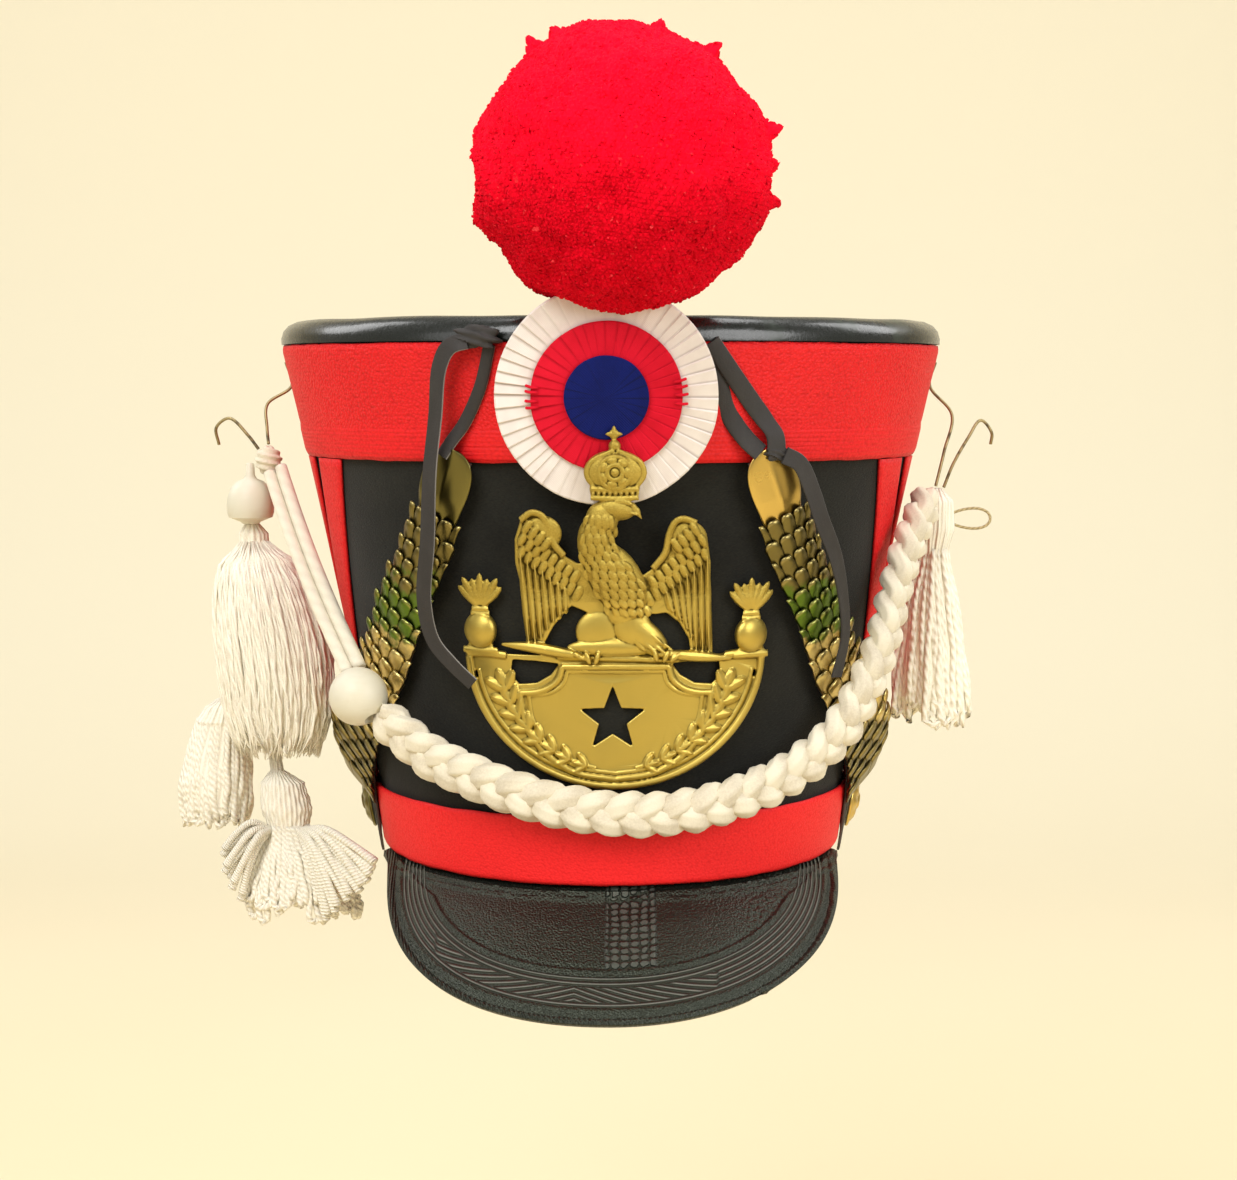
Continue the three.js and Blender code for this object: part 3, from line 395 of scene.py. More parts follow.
@dataclass(frozen=True)
class PatentLeather(Finish):
    """Glossy greenish-black leather with fine creases."""

    name: str = "top_leather"
    colour: Colour = (0.004, 0.006, 0.004)
    worn: Colour = (0.02, 0.035, 0.018)

    def paint(self, s: Shader, at: Socket) -> None:
        """Paint the gloss leather.

        Args:
            s: The material's shader.
            at: Places on the piece, in metres.
        """
        crease = s.cloud(s.stretched(at, (1, 1, 2)), 0.009, 4)
        fine = s.cloud(at, 0.0012, 2)
        worn = s.cloud(at, 0.018, 4).step(0.55, 0.78)
        s.surface_set(
            base_color=s.mix(worn, self.colour, self.worn),
            roughness=0.2 + 0.16 * fine + 0.15 * worn, coat_weight=0.35, coat_roughness=0.12,
        )
        s.bump(crease * 0.7 + fine * 0.25, 0.0006, 0.5)


@dataclass(frozen=True)
class PeakLeather(Finish):
    """Black leather pressed with lines along the edge; the lines' crests and the patch's raised squares are
    painted lighter as highlights.

    UV holds the place across and the inset from the edge.
    """

    name: str = "peak_leather"
    colour: Colour = (0.0046, 0.0052, 0.0040)
    # Lighter colour for the painted highlights on line crests and squares, and for rubbed wear.
    worn: Colour = (0.215, 0.225, 0.195)
    sheen: Colour = (0.84, 0.93, 0.72)
    pitch: float = 0.0021
    band: Pair = (0.0072, 0.0204)
    hatch: Pair = (0.0096, 0.0162)
    hatch_middle: float = -0.012
    hatch_half: float = 0.048
    patch: Pair = (0.0072, 0.0080)
    patch_from: Pair = (0.0222, 0.0235)
    squares: Pair = (0.0034, 0.0030)
    stitch: float = 0.0017

    @staticmethod
    def _between(at: Value, low: float, high: float, soft: float = 0.0006) -> Value:
        """1 between two places and 0 outside them."""
        return at.step(low, low + soft) * (1 - at.step(high - soft, high))

    def paint(self, s: Shader, at: Socket) -> None:
        """Paint the peak.

        Args:
            s: The material's shader.
            at: Places on the piece, in metres.
        """
        across, inset, _ = s.split(s.coords("UV"))
        grain = s.pebbles(at, 0.0008)
        coarse = s.pebbles(at, 0.0018) * across.step(0.040, 0.052) * inset.step(0.02, 0.024)
        fine = s.cloud(at, 0.0005, 2)
        turn = tau / self.pitch
        aside = (across - self.hatch_middle).size()
        hatched = self._between(inset, *self.hatch)
        hatched = hatched * (1 - aside.step(self.hatch_half, self.hatch_half + 0.002))
        plain = (inset * turn).sine() * 0.5 + 0.5
        slant = ((inset + aside * 0.36) * turn).sine() * 0.5 + 0.5
        banded = self._between(inset, *self.band, 0.001)
        wave = plain * (1 - hatched) + slant * hatched
        lines = wave * wave * banded
        column = (across - self.patch[0]).size()
        patch = (1 - column.step(self.patch[1], self.patch[1] + 0.0012)) * inset.step(*self.patch_from)
        wander = (s.cloud(at, 0.003, 2) - 0.5) * 0.0022
        columns = ((across + wander) * (pi / self.squares[0])).sine().size()
        rows = ((inset - wander) * (pi / self.squares[1])).sine().size()
        scales = (columns * rows).step(0.1, 0.5)
        stitch = ((across + inset * 0.5) * (tau / self.stitch)).sine() * (1 - inset.step(0.0035, 0.0045))
        rub = s.cloud(at, 0.016, 4).step(0.5, 0.85)
        # Painted highlights on the line crests and the patch's squares, with rubbed wear and fine tone.
        painted_highlight_and_wear = lines * 0.8 + scales * patch * 0.36 + rub * 0.10 + fine * 0.18
        s.surface_set(
            base_color=s.mix(painted_highlight_and_wear.step(0.12, 1.15), self.colour, self.worn),
            roughness=0.33 + 0.14 * grain + 0.12 * rub, specular_ior_level=0.50, specular_tint=self.sheen,
        )
        height = (1 - grain) * (1 - patch) * (1 - banded * 0.6) * 0.42 - coarse * 0.8 + stitch * 0.2
        s.bump(height + lines * 1.6 + scales * patch * 1.3 + fine * 0.12, 0.0008)


@dataclass(frozen=True)
class Brass(Finish):
    """Stamped brass, stippled above a height; with relief, it carries painted shade in its hollows and
    painted highlights on its ridges.
    """

    name: str
    gold: Colour = (0.57, 0.43, 0.098)
    shade: Colour = (0.39, 0.29, 0.056)
    # Colours of the painted shade in hollows and the painted highlight on ridges.
    painted_hollow_shade: Colour = (0.045, 0.028, 0.004)
    ridge: Colour = (0.92, 0.74, 0.30)
    stipple_from: float = 9.0
    gloss: float = 0.3
    # Whether the painted shade and highlights of the relief are laid on.
    relief: bool = False

    def paint(self, s: Shader, at: Socket) -> None:
        """Paint the brass.

        Args:
            s: The material's shader.
            at: Places on the piece, in metres.
        """
        z = s.split(at)[2]
        cloud = s.cloud(at, 0.02, 4)
        scuff = s.cloud(s.stretched(at, (1, 1, 5)), 0.004, 3)
        stipple = s.cloud(at, 0.0006, 2)
        figure = z.step(self.stipple_from, self.stipple_from + 0.003)
        colour = s.mix((cloud * 0.6 + stipple * figure * 0.5).step(0.25, 0.9), self.gold, self.shade)
        if self.relief:
            # Painted shade in the hollows and painted highlights on the ridges, read from the cavity depth.
            cavity = s.attribute("cavity")
            colour = s.mix(cavity.step(0.01, 0.13) * 0.95, colour, self.painted_hollow_shade)
            colour = s.mix((0 - cavity).step(0.05, 0.4) * 0.6, colour, self.ridge)
        s.surface_set(base_color=colour, metallic=1.0, roughness=self.gloss + 0.1 * cloud + 0.14 * figure)
        s.bump(stipple * figure + scuff * 0.2, 0.0003, 0.7)


@dataclass(frozen=True)
class ScaleBrass(Finish):
    """Tarnished brass scales with painted shade in the grooves between their lobes and at each row's
    curled-down end; UV runs along and across each scale.
    """

    name: str = "scale_brass"
    gold: Colour = (0.66, 0.52, 0.20)
    olive: Colour = (0.19, 0.155, 0.05)
    green: Colour = (0.11, 0.185, 0.024)
    # Colour of the painted shade between lobes and at the rows' ends.
    dark: Colour = (0.018, 0.014, 0.006)
    lobes: float = 4.0
    olive_below: Pair = (0.046, 0.056)
    olive_above: Pair = (0.082, 0.09)
    green_from: Pair = (0.083, 0.089)
    green_to: Pair = (0.103, 0.109)

    def paint(self, s: Shader, at: Socket) -> None:
        """Paint the scales.

        Args:
            s: The material's shader.
            at: Places on the piece, in metres.
        """
        along, across, _ = s.split(s.coords("UV"))
        stain = s.cloud(at, 0.008, 4)
        height = s.split(at)[2] + (stain - 0.5) * 0.034
        line = 1 - (across * (self.lobes * pi)).sine().size().step(0.02, 0.22)
        low = 1 - height.step(*self.olive_below)
        olive = (height.step(*self.olive_above) + low).step(0.0, 1.0)
        colour = s.mix(olive, self.gold, self.olive)
        green = height.step(*self.green_from) * (1 - height.step(*self.green_to))
        colour = s.mix(green, colour, self.green)
        colour = s.mix(along.step(0.84, 0.93) * 0.3, colour, self.gold)
        # Painted shade in the grooves between the lobes and at each row's curled-down end.
        colour = s.mix((line + along.step(0.965, 0.99)).step(0.0, 1.0) * 0.66, colour, self.dark)
        s.surface_set(base_color=colour, metallic=1.0, roughness=0.24 + 0.22 * stain)
        s.bump(s.cloud(at, 0.0016, 3) * 0.5 - line, 0.0004, 0.7)


@dataclass(frozen=True)
class Cloth(Finish):
    """Plain-woven cockade cloth; UV holds the share of a pleat and the depth of its fold, and the crease
    colour is painted shade in the folds.
    """

    name: str
    colour: Colour
    shade: Colour
    # Colour of the painted shade in the pleats' creases.
    crease: Colour
    weave: float = 0.0006

    def paint(self, s: Shader, at: Socket) -> None:
        """Paint the cloth.

        Args:
            s: The material's shader.
            at: Places on the piece, in metres.
        """
        x, _, z = s.split(at)
        pleat, fold, _ = s.split(s.coords("UV"))
        turn = tau / self.weave
        threads = (x * turn).sine() * (z * turn).sine() * 0.5 + 0.5
        cloud = s.cloud(at, 0.009, 3)
        colour = s.mix((cloud * 0.8 + threads * 0.3).step(0.3, 0.95), self.colour, self.shade)
        # Painted shade where each pleat starts, deeper where its fold is deeper.
        s.surface_set(
            base_color=s.mix((1 - pleat.step(0.0, 0.3)) * fold, colour, self.crease),
            roughness=0.82, specular_ior_level=0.15,
        )
        s.bump(threads + cloud * 0.5, 0.00018, 0.7)


@dataclass(frozen=True)
class Yarn(Finish):
    """White cotton yarn: UV runs along and round each strand, and its twist shows as slanting ridges with
    painted shade in the grooves between them.
    """

    name: str
    turns: float
    strands: float = 3.0
    depth: float = 0.0004
    colour: Colour = (0.74, 0.68, 0.53)
    # The darker colour: painted shade in the twist's grooves and the yarn's random tone.
    shade: Colour = (0.54, 0.47, 0.35)

    def paint(self, s: Shader, at: Socket) -> None:
        """Paint the yarn.

        Args:
            s: The material's shader.
            at: Places on the piece, in metres.
        """
        along, round_, _ = s.split(s.coords("UV"))
        twist = ((along * self.turns + round_ * self.strands) * tau).sine() * 0.5 + 0.5
        fibre = s.cloud(at, 0.0007, 3)
        cloud = s.cloud(at, 0.014, 3)
        # Darker in the twist's grooves, which is painted shade, and in patches of fibre and cloud noise.
        dark = ((1 - twist) * 0.35 + fibre * 0.5 + cloud * 0.3).step(0.35, 1.05)
        s.surface_set(
            base_color=s.mix(dark, self.colour, self.shade),
            roughness=0.9, sheen_weight=0.15, specular_ior_level=0.2,
        )
        s.bump(twist + fibre * 0.45, self.depth, 0.8)


@dataclass(frozen=True)
class Wool(Finish):
    """Crimson wool, bright and smooth above a height and darker and speckled below it; the darker lower part
    is painted shade.
    """

    name: str = "red_wool"
    tip: Colour = (0.93, 0.001, 0.020)
    # The root colour is also the painted shade of the ball's lower part.
    root: Colour = (0.60, 0.0, 0.008)
    speck: Colour = (0.95, 0.06, 0.07)
    turn: Pair = (0.226, 0.262)

    def paint(self, s: Shader, at: Socket) -> None:
        """Paint the wool.

        Args:
            s: The material's shader.
            at: Places on the piece, in metres.
        """
        fluff = s.cloud(at, 0.0016, 4)
        cloud = s.cloud(at, 0.02, 3)
        # Darker below the turn height: painted shade on the ball's underside, mixed with fluff and cloud
        # noise.
        low = 1 - (s.split(at)[2] + (cloud - 0.5) * 0.03).step(*self.turn)
        deep = (fluff * (0.4 + 0.2 * low) + cloud * 0.3 + low * 0.34).step(0.42, 0.95)
        colour = s.mix(deep, self.tip, self.root)
        s.surface_set(
            base_color=s.mix(s.cloud(at, 0.0019, 1).step(0.68, 0.76) * low * 0.7, colour, self.speck),
            roughness=0.95, sheen_weight=0.3, sheen_roughness=0.4, sheen_tint=(1.0, 0.02, 0.06),
            specular_ior_level=0.1,
        )
        s.bump(fluff, 0.0007, 0.5)


@dataclass(frozen=True)
class StrapLeather(Finish):
    """Dull leather whose edges are painted paler as a highlight; UV runs along and across the strap."""

    name: str
    colour: Colour
    # Colour of the painted highlight along the edges.
    edge: Colour
    sheen: float = 0.6

    def paint(self, s: Shader, at: Socket) -> None:
        """Paint the strap.

        Args:
            s: The material's shader.
            at: Places on the piece, in metres.
        """
        across = s.split(s.coords("UV"))[1]
        # Paler towards both edges: a painted highlight, with crease and grain noise.
        rim = (across - 0.5).size().step(0.4, 0.49)
        grain = s.cloud(at, 0.0008, 3)
        crease = s.cloud(s.stretched(at, (1, 1, 0.4)), 0.006, 4)
        pale = (rim * 0.7 + crease * 0.25 + grain * 0.12).step(0.15, 0.95)
        s.surface_set(
            base_color=s.mix(pale, self.colour, self.edge),
            roughness=self.sheen + 0.2 * grain, specular_ior_level=0.4,
        )
        s.bump(grain * 0.5 + crease * 0.6, 0.0003, 0.8)


@dataclass(frozen=True)
class PaintedWood(Finish):
    """Cream paint on a turned bead, worn a little in patches and streaks."""

    name: str = "bead_paint"
    colour: Colour = (0.66, 0.62, 0.49)
    worn: Colour = (0.60, 0.53, 0.38)

    def paint(self, s: Shader, at: Socket) -> None:
        """Paint the bead.

        Args:
            s: The material's shader.
            at: Places on the piece, in metres.
        """
        cloud = s.cloud(at, 0.007, 4)
        lines = s.cloud(s.stretched(at, (1, 1, 6)), 0.006, 2)
        s.surface_set(
            base_color=s.mix((cloud * 0.8 + lines * 0.3).step(0.5, 1.0), self.colour, self.worn),
            roughness=0.35 + 0.2 * cloud, specular_ior_level=0.4,
        )
        s.bump(lines * 0.4 + cloud * 0.3, 0.00025, 0.6)


@dataclass(frozen=True)
class Wire(Finish):
    """Dull brassy wire with dark spots."""

    name: str = "wire"
    colour: Colour = (0.34, 0.27, 0.13)
    spot: Colour = (0.08, 0.065, 0.04)

    def paint(self, s: Shader, at: Socket) -> None:
        """Paint the wire.

        Args:
            s: The material's shader.
            at: Places on the piece, in metres.
        """
        spots = s.cloud(at, 0.004, 3)
        s.surface_set(
            base_color=s.mix(spots.step(0.45, 0.7), self.colour, self.spot),
            metallic=0.9, roughness=0.3 + 0.35 * spots,
        )


# Shaping


@dataclass(frozen=True)
class CrownForm:
    """The flared oval that every piece of the hat follows."""

    height: float = 190.0
    rim: Pair = (86.0, 98.0)
    top: Pair = (123.6, 125.4)
    draw_in: float = 2.0

    def half(self, z: float) -> Pair:
        """Half widths of the felt at a height.

        Args:
            z: The height.

        Returns:
            Half the width and half the depth.
        """
        t = z / self.height
        waist = self.draw_in * 4 * t * (1 - t)
        return blend(self.rim[0], self.top[0], t) - waist, blend(self.rim[1], self.top[1], t) - waist

    def point(self, bearing: float, z: float, out: float) -> Vector:
        """A place off the felt, from a bearing in radians."""
        half = self.half(z)
        return Vector(((half[0] + out) * sin(bearing), -(half[1] + out) * cos(bearing), z))

    def row(self, row: Row) -> Vector:
        """A place from a row of bearing in degrees, height and offset."""
        return self.point(radians(row[0]), row[1], row[2])

    def behind(self, x: float, z: float, out: float) -> Vector:
        """The place straight behind a point of the front view."""
        share = max(-1.0, min(1.0, x / (self.half(z)[0] + out)))
        return self.point(asin(share), z, out)


CROWN = CrownForm()


class Route:
    """A smooth line through points, read by its length."""

    samples_per_span: int = 24

    def __init__(self, points: Sequence[Vector]) -> None:
        """Measure the line through the points.

        Args:
            points: The points that the line goes through.
        """
        ends = [points[0] * 2 - points[1], *points, points[-1] * 2 - points[-2]]
        self.line: list[Vector] = []
        for i in range(len(points) - 1):
            steps = (k / self.samples_per_span for k in range(self.samples_per_span))
            self.line += [self._between(ends[i : i + 4], step) for step in steps]
        self.line.append(points[-1].copy())
        self.reach = [0.0]
        for a, b in zip(self.line, self.line[1:]):
            self.reach.append(self.reach[-1] + (b - a).length)
        self.length = self.reach[-1]

    @staticmethod
    def _between(span: Sequence[Vector], t: float) -> Vector:
        """A place between the middle two of four points.

        Args:
            span: The four points.
            t: The share of the way.

        Returns:
            The place.
        """
        gaps = [max(1e-4, (b - a).length ** 0.5) for a, b in zip(span, span[1:])]
        a, b, c, d = span
        lead = ((b - a) / gaps[0] - (c - a) / (gaps[0] + gaps[1]) + (c - b) / gaps[1]) * gaps[1]
        tail = ((c - b) / gaps[1] - (d - b) / (gaps[1] + gaps[2]) + (d - c) / gaps[2]) * gaps[1]
        square = (c - b) * 3 - lead * 2 - tail
        cube = (b - c) * 2 + lead + tail
        return b + lead * t + square * t * t + cube * t**3

    def at(self, share: float) -> Vector:
        """The place a share of the way along.

        Args:
            share: The share of the length, from 0 to 1.

        Returns:
            The place.
        """
        want = max(0.0, min(1.0, share)) * self.length
        low, high = 0, len(self.reach) - 1
        while high - low > 1:
            middle = (low + high) // 2
            low, high = (middle, high) if self.reach[middle] <= want else (low, middle)
        gap = self.reach[high] - self.reach[low]
        return self.line[low].lerp(self.line[high], (want - self.reach[low]) / gap if gap else 0.0)

    def ahead(self, share: float) -> Vector:
        """The direction of the line there."""
        step = 0.004
        return (self.at(share + step) - self.at(share - step)).normalized()


class Mould:
    """A mesh in the making, in millimetres, shaped by bmesh operators."""

    def __init__(self) -> None:
        """Start with an empty mesh that carries UVs."""
        self.bm = bmesh.new()
        self.uv = self.bm.loops.layers.uv.new("UVMap")

    def sheet(self, across: int, up: int, place: Place, closed: bool = False) -> list[bmesh.types.BMVert]:
        """Lay a grid over a surface.

        Args:
            across: Faces along the first way.
            up: Faces along the second way.
            place: The place of each pair of shares from 0 to 1.
            closed: Whether the edges meet and are joined.

        Returns:
            The grid's vertices.
        """
        made = bmesh.ops.create_grid(self.bm, x_segments=across, y_segments=up, size=0.5, calc_uvs=True)
        for vert in made["verts"]:
            vert.co = place(vert.co.x + 0.5, vert.co.y + 0.5)
        if closed:
            bmesh.ops.remove_doubles(self.bm, verts=made["verts"], dist=WELD)
        return [vert for vert in made["verts"] if vert.is_valid]

    def tube(self, route: Route, radius: Callable[[float], float], sides: int, steps: int) -> None:
        """Sweep a round section along a route and close its ends.

        Args:
            route: The line to follow.
            radius: The section's radius at a share of the way.
            sides: Faces round the section.
            steps: Faces along the route.
        """
        frames: dict[int, tuple[Vector, Vector, Vector]] = {}
        turn = route.ahead(0.0).orthogonal().normalized()
        for i in range(steps + 1):
            share = i / steps
            ahead = route.ahead(share)
            turn = (turn - ahead * turn.dot(ahead)).normalized()
            frames[i] = (route.at(share), turn.copy(), ahead.cross(turn))

        def place(u: float, v: float) -> Vector:
            """A place on the tube's skin.

            Args:
                u: Share of the way along.
                v: Share of the way round.

            Returns:
                The place.
            """
            middle, first, second = frames[round(u * steps)]
            angle = v * tau
            return middle + (first * cos(angle) + second * sin(angle)) * radius(u)

        self.sleeve(steps, sides, place)

    def sleeve(self, steps: int, sides: int, place: Place) -> None:
        """Add a tube whose skin is laid out along and round it, and close its ends.

        Args:
            steps: Faces along it.
            sides: Faces round it.
            place: The place of each pair of shares.
        """
        part = Mould()
        part.sheet(steps, sides, place, closed=True)
        part.cap()
        self.absorb(part)

    def cap(self) -> None:
        """Close every open rim with a face."""
        bmesh.ops.holes_fill(self.bm, edges=[edge for edge in self.bm.edges if edge.is_boundary], sides=0)

    def absorb(self, part: "Mould") -> None:
        """Take in another mesh and free it.

        Args:
            part: The mesh to take in.
        """
        mesh = bpy.data.meshes.new("part")
        part.bm.to_mesh(mesh)
        part.bm.free()
        self.bm.from_mesh(mesh)
        bpy.data.meshes.remove(mesh)

    def dome(self, at: Row, half: Row, lean: float = 0.0, detail: tuple[int, int] = (16, 10)) -> None:
        """Add a rounded swelling, leaning by some degrees in the flat.

        Args:
            at: Its middle.
            half: Its half sizes.
            lean: The angle.
            detail: Faces round it and up it.
        """
        shape = (
            Matrix.Translation(Vector(at))
            @ Matrix.Rotation(radians(lean), 4, "Z")
            @ Matrix.Diagonal(Vector((*half, 1.0)))
        )
        part = Mould()
        around, up = detail
        bmesh.ops.create_uvsphere(part.bm, u_segments=around, v_segments=up, radius=1.0, matrix=shape)
        self.absorb(part)

    def spin(self, profile: Sequence[Row], sides: int) -> None:
        """Turn a profile round the upright axis and close it, facing outward.

        Args:
            profile: Rows of radius and height.
            sides: Faces round the axis.
        """
        line = [self.bm.verts.new((r, 0.0, z)) for r, z in profile]
        edges = [self.bm.edges.new(pair) for pair in zip(line, line[1:])]
        bmesh.ops.spin(self.bm, geom=[*line, *edges], axis=(0, 0, 1), cent=(0, 0, 0), angle=tau,
                       steps=sides, use_merge=True)
        self.close()

    def reshape(self, place: Callable[[Vector], Vector]) -> None:
        """Move every vertex through a function of its place."""
        for vert in self.bm.verts:
            vert.co = place(vert.co)

    def through(self, kind: str, **settings: Any) -> None:
        """Pass the mesh through one modifier.

        Args:
            kind: The modifier's type.
            settings: Its settings.
        """
        mesh = bpy.data.meshes.new("blank")
        self.bm.to_mesh(mesh)
        holder = bpy.data.objects.new("blank", mesh)
        link(holder)
        modifier = holder.modifiers.new("step", kind)
        for name, value in settings.items():
            setattr(modifier, name, value)
        self.take(holder)
        bpy.data.meshes.remove(mesh)

    def take(self, holder: Object) -> None:
        """Replace the mesh by what an object looks like, and remove the object.

        Args:
            holder: The object.
        """
        bpy.context.view_layer.update()
        mesh = bpy.data.meshes.new_from_object(holder.evaluated_get(bpy.context.evaluated_depsgraph_get()))
        bpy.data.objects.remove(holder)
        self.bm.clear()
        self.bm.from_mesh(mesh)
        bpy.data.meshes.remove(mesh)
        self.uv = self.bm.loops.layers.uv.verify()

    def close(self) -> None:
        """Join doubled vertices and turn the faces outward."""
        bmesh.ops.remove_doubles(self.bm, verts=self.bm.verts, dist=WELD)
        self.turn_out()

    def turn_out(self) -> None:
        """Turn the faces of closed forms outward, and those of a sheet one way."""
        bmesh.ops.recalc_face_normals(self.bm, faces=self.bm.faces)

    def move(self, matrix: Matrix) -> None:
        """Put the whole mesh in its place."""
        bmesh.ops.transform(self.bm, matrix=matrix, verts=self.bm.verts)

    def map_uv(self, place: Callable[[bmesh.types.BMLoop], Row]) -> None:
        """Set the UV of every face corner."""
        for loop in (loop for face in self.bm.faces for loop in face.loops):
            loop[self.uv].uv = place(loop)

    def face_out(self) -> None:
        """Turn an open sheet's faces away from the hat's upright axis."""
        self.bm.normal_update()
        lean = 0.0
        for face in self.bm.faces:
            middle = face.calc_center_median()
            lean += face.normal.dot(Vector((middle.x, middle.y, 0.0))) * face.calc_area()
        if lean < 0:
            bmesh.ops.reverse_faces(self.bm, faces=self.bm.faces)

    def piece(self, name: str, material: Material, slot: str, nodes: Iterable[str] = (),
              wall: float = 0.0, sharp: float = 50.0) -> Object:
        """Make the finished piece and seat it on the hat.

        Args:
            name: The piece's name.
            material: Its finish.
            slot: The record's material slot; not used.
            nodes: The solids that it stands for.
            wall: Thickness in millimetres that a sheet gets behind its faces.
            sharp: Angle in degrees past which an edge stays sharp.

        Returns:
            The new object.
        """
        bmesh.ops.scale(self.bm, vec=(MM, MM, MM), verts=self.bm.verts)
        mesh = bpy.data.meshes.new(name)
        self.bm.to_mesh(mesh)
        self.bm.free()
        mesh.materials.append(material)
        mesh.shade_smooth()
        mesh.set_sharp_from_angle(angle=radians(sharp))
        made = bpy.data.objects.new(name, mesh)
        link(made)
        if wall:
            thick = made.modifiers.new("wall", "SOLIDIFY")
            thick.thickness = wall * MM
            thick.offset = -1.0
            thick.use_even_offset = True
        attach(made, BODY)
        if nodes:
            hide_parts(*nodes)
        LOG.info("made %s, %d faces", name, len(mesh.polygons))
        return made


# Crown


@dataclass
class Body:
    """The felt crown with its red bands, side chevrons and leather top."""

    felt: float = 2.2
    band_out: Pair = (0.3, 2.1)
    upper: Pair = (149.0, 190.0)
    lower: Pair = (0.0, 24.5)
    hem: float = 160.5
    chevron_out: float = 1.8
    chevron_top: float = 148.6
    chevrons: tuple[tuple[str, Row], ...] = (
        ("outer", (32.5, 21.0, 9.0, 25.0, 33.0)),
        ("inner", (16.5, 6.5, 0.8, 53.0, 110.0)),
    )
    top_face: float = 194.0
    top_profile: Rows = (
        (-124.5, 195.4), (-60.0, 195.2), (-24.0, 195.3), (-17.0, 196.2), (-11.0, 198.0), (-7.0, 198.9),
        (-3.6, 198.8), (-0.6, 197.4), (1.3, 195.2), (2.1, 192.6), (2.0, 190.4), (-3.0, 190.4), (-5.0, 193.2),
        (-124.5, 193.2),
    )

    def build(self) -> None:
        """Build and dress the whole crown."""
        red = RedLeather("band_leather", hem=self.hem * MM)
        # The lower band's leather is smoother, and its red is a brighter copy of the upper band's: painted
        # light.
        smooth = RedLeather("lower_band_leather", (0.86, 0.016, 0.018), (0.60, 0.008, 0.010), 0.0009,
                            pebble_depth=0.00014)
        self._felt()
        self._band("upper_band", self.upper, red.material(), self.hem)
        self._band("lower_band", self.lower, smooth.material(), None)
        strip = RedLeather("chevron_leather", pebble=0.0012, pebble_depth=0.0002).material()
        for side in Side:
            for name, row in self.chevrons:
                self._chevron(f"chevron_{name}_{side.word}", side, row, strip)
        self._top()

    def _felt(self) -> None:
        """Build the felt wall."""
        mould = Mould()

        def place(u: float, v: float) -> Vector:
            """A place on the felt's outside.

            Args:
                u: Share of the way round.
                v: Share of the way up.

            Returns:
                The place.
            """
            bearing = (u - 0.5) * tau
            z = v * CROWN.height
            spot = CROWN.point(bearing, z, 0.0)
            return CROWN.point(bearing, z, -0.12 + 0.12 * rough(spot, 22.0))

        mould.sheet(144, 40, place, closed=True)
        mould.face_out()
        mould.piece("crown_felt", Felt().material(), "black_felt", ["crown_body"], wall=self.felt - 0.15)

    def _band(self, node: str, span: Pair, leather: Material, hem: float | None) -> None:
        """Build one red band.

        Args:
            node: The solid that it stands for.
            span: Its lower and upper heights.
            leather: Its finish.
            hem: Height of the fold above its turned hem, if it has one.
        """
        mould = Mould()

        def place(u: float, v: float) -> Vector:
            """A place on the band's outside.

            Args:
                u: Share of the way round.
                v: Share of the way up.

            Returns:
                The place.
            """
            bearing = (u - 0.5) * tau
            spot = CROWN.point(bearing, blend(*span, v), 0.0)
            edge = max(bell(v, 0.0, 0.03), bell(v, 1.0, 0.03))
            z = blend(*span, v) + 0.35 * rough(spot, 9.0, 2.0) * edge
            out = self.band_out[1] - 0.75 * edge + 0.16 * rough(spot, 26.0, 5.0)
            if hem is not None:
                out += 0.35 * (1 - ease(hem - 0.8, hem + 0.8, z)) - 0.35 * bell(z, hem, 0.7)
            return CROWN.point(bearing, z, out)

        mould.sheet(180, 30, place, closed=True)
        mould.face_out()
        wall = self.band_out[1] - self.band_out[0] - 0.25
        mould.piece(node + "_leather", leather, "red_leather", [node], wall=wall)

    def _chevron(self, node: str, side: Side, row: Row, leather: Material) -> None:
        """Build one V of red leather on the side of the crown.

        Args:
            node: The solid that it stands for.
            side: The side that it is on.
            row: Outer and inner top angles, foot angle, foot height and crotch height.
            leather: Its finish.
        """
        mould = Mould()
        top_front, top_rear, foot_half, foot, crotch = row

        def limb(mirror: int) -> Place:
            """The surface of one limb of the V.

            Args:
                mirror: -1 for the front limb and 1 for the rear one.

            Returns:
                The surface.
            """

            def place(u: float, v: float) -> Vector:
                """A place on the limb's outside.

                Args:
                    u: Share of the way across.
                    v: Share of the way up.

                Returns:
                    The place.
                """
                inner_z = blend(crotch, self.chevron_top, v)
                outer_z = blend(foot, self.chevron_top, v)
                inner = top_rear * v
                outer = blend(foot_half, top_front, v)
                angle = blend(inner, outer, u)
                z = blend(inner_z, outer_z, u)
                edge = max(bell(u, 0.0, 0.06), bell(u, 1.0, 0.06))
                bearing = side.value * radians(90 + mirror * angle)
                return CROWN.point(bearing, z, self.chevron_out - 0.45 * edge)

            return place

        for mirror in (-1, 1):
            verts = mould.sheet(14, 40, limb(mirror))
            if mirror > 0:
                faces = {face for vert in verts for face in vert.link_faces}
                bmesh.ops.reverse_faces(mould.bm, faces=list(faces))

        def tip(u: float, v: float) -> Vector:
            """A place between the limbs, below the crotch."""
            bearing = side.value * radians(90 + blend(-foot_half, foot_half, u) * v)
            return CROWN.point(bearing, blend(crotch, foot, v), self.chevron_out)

        mould.sheet(10, 4, tip)
        bmesh.ops.remove_doubles(mould.bm, verts=mould.bm.verts, dist=0.05)
        mould.turn_out()
        mould.face_out()
        mould.piece(node + "_leather", leather, "red_leather", [node], wall=1.0)

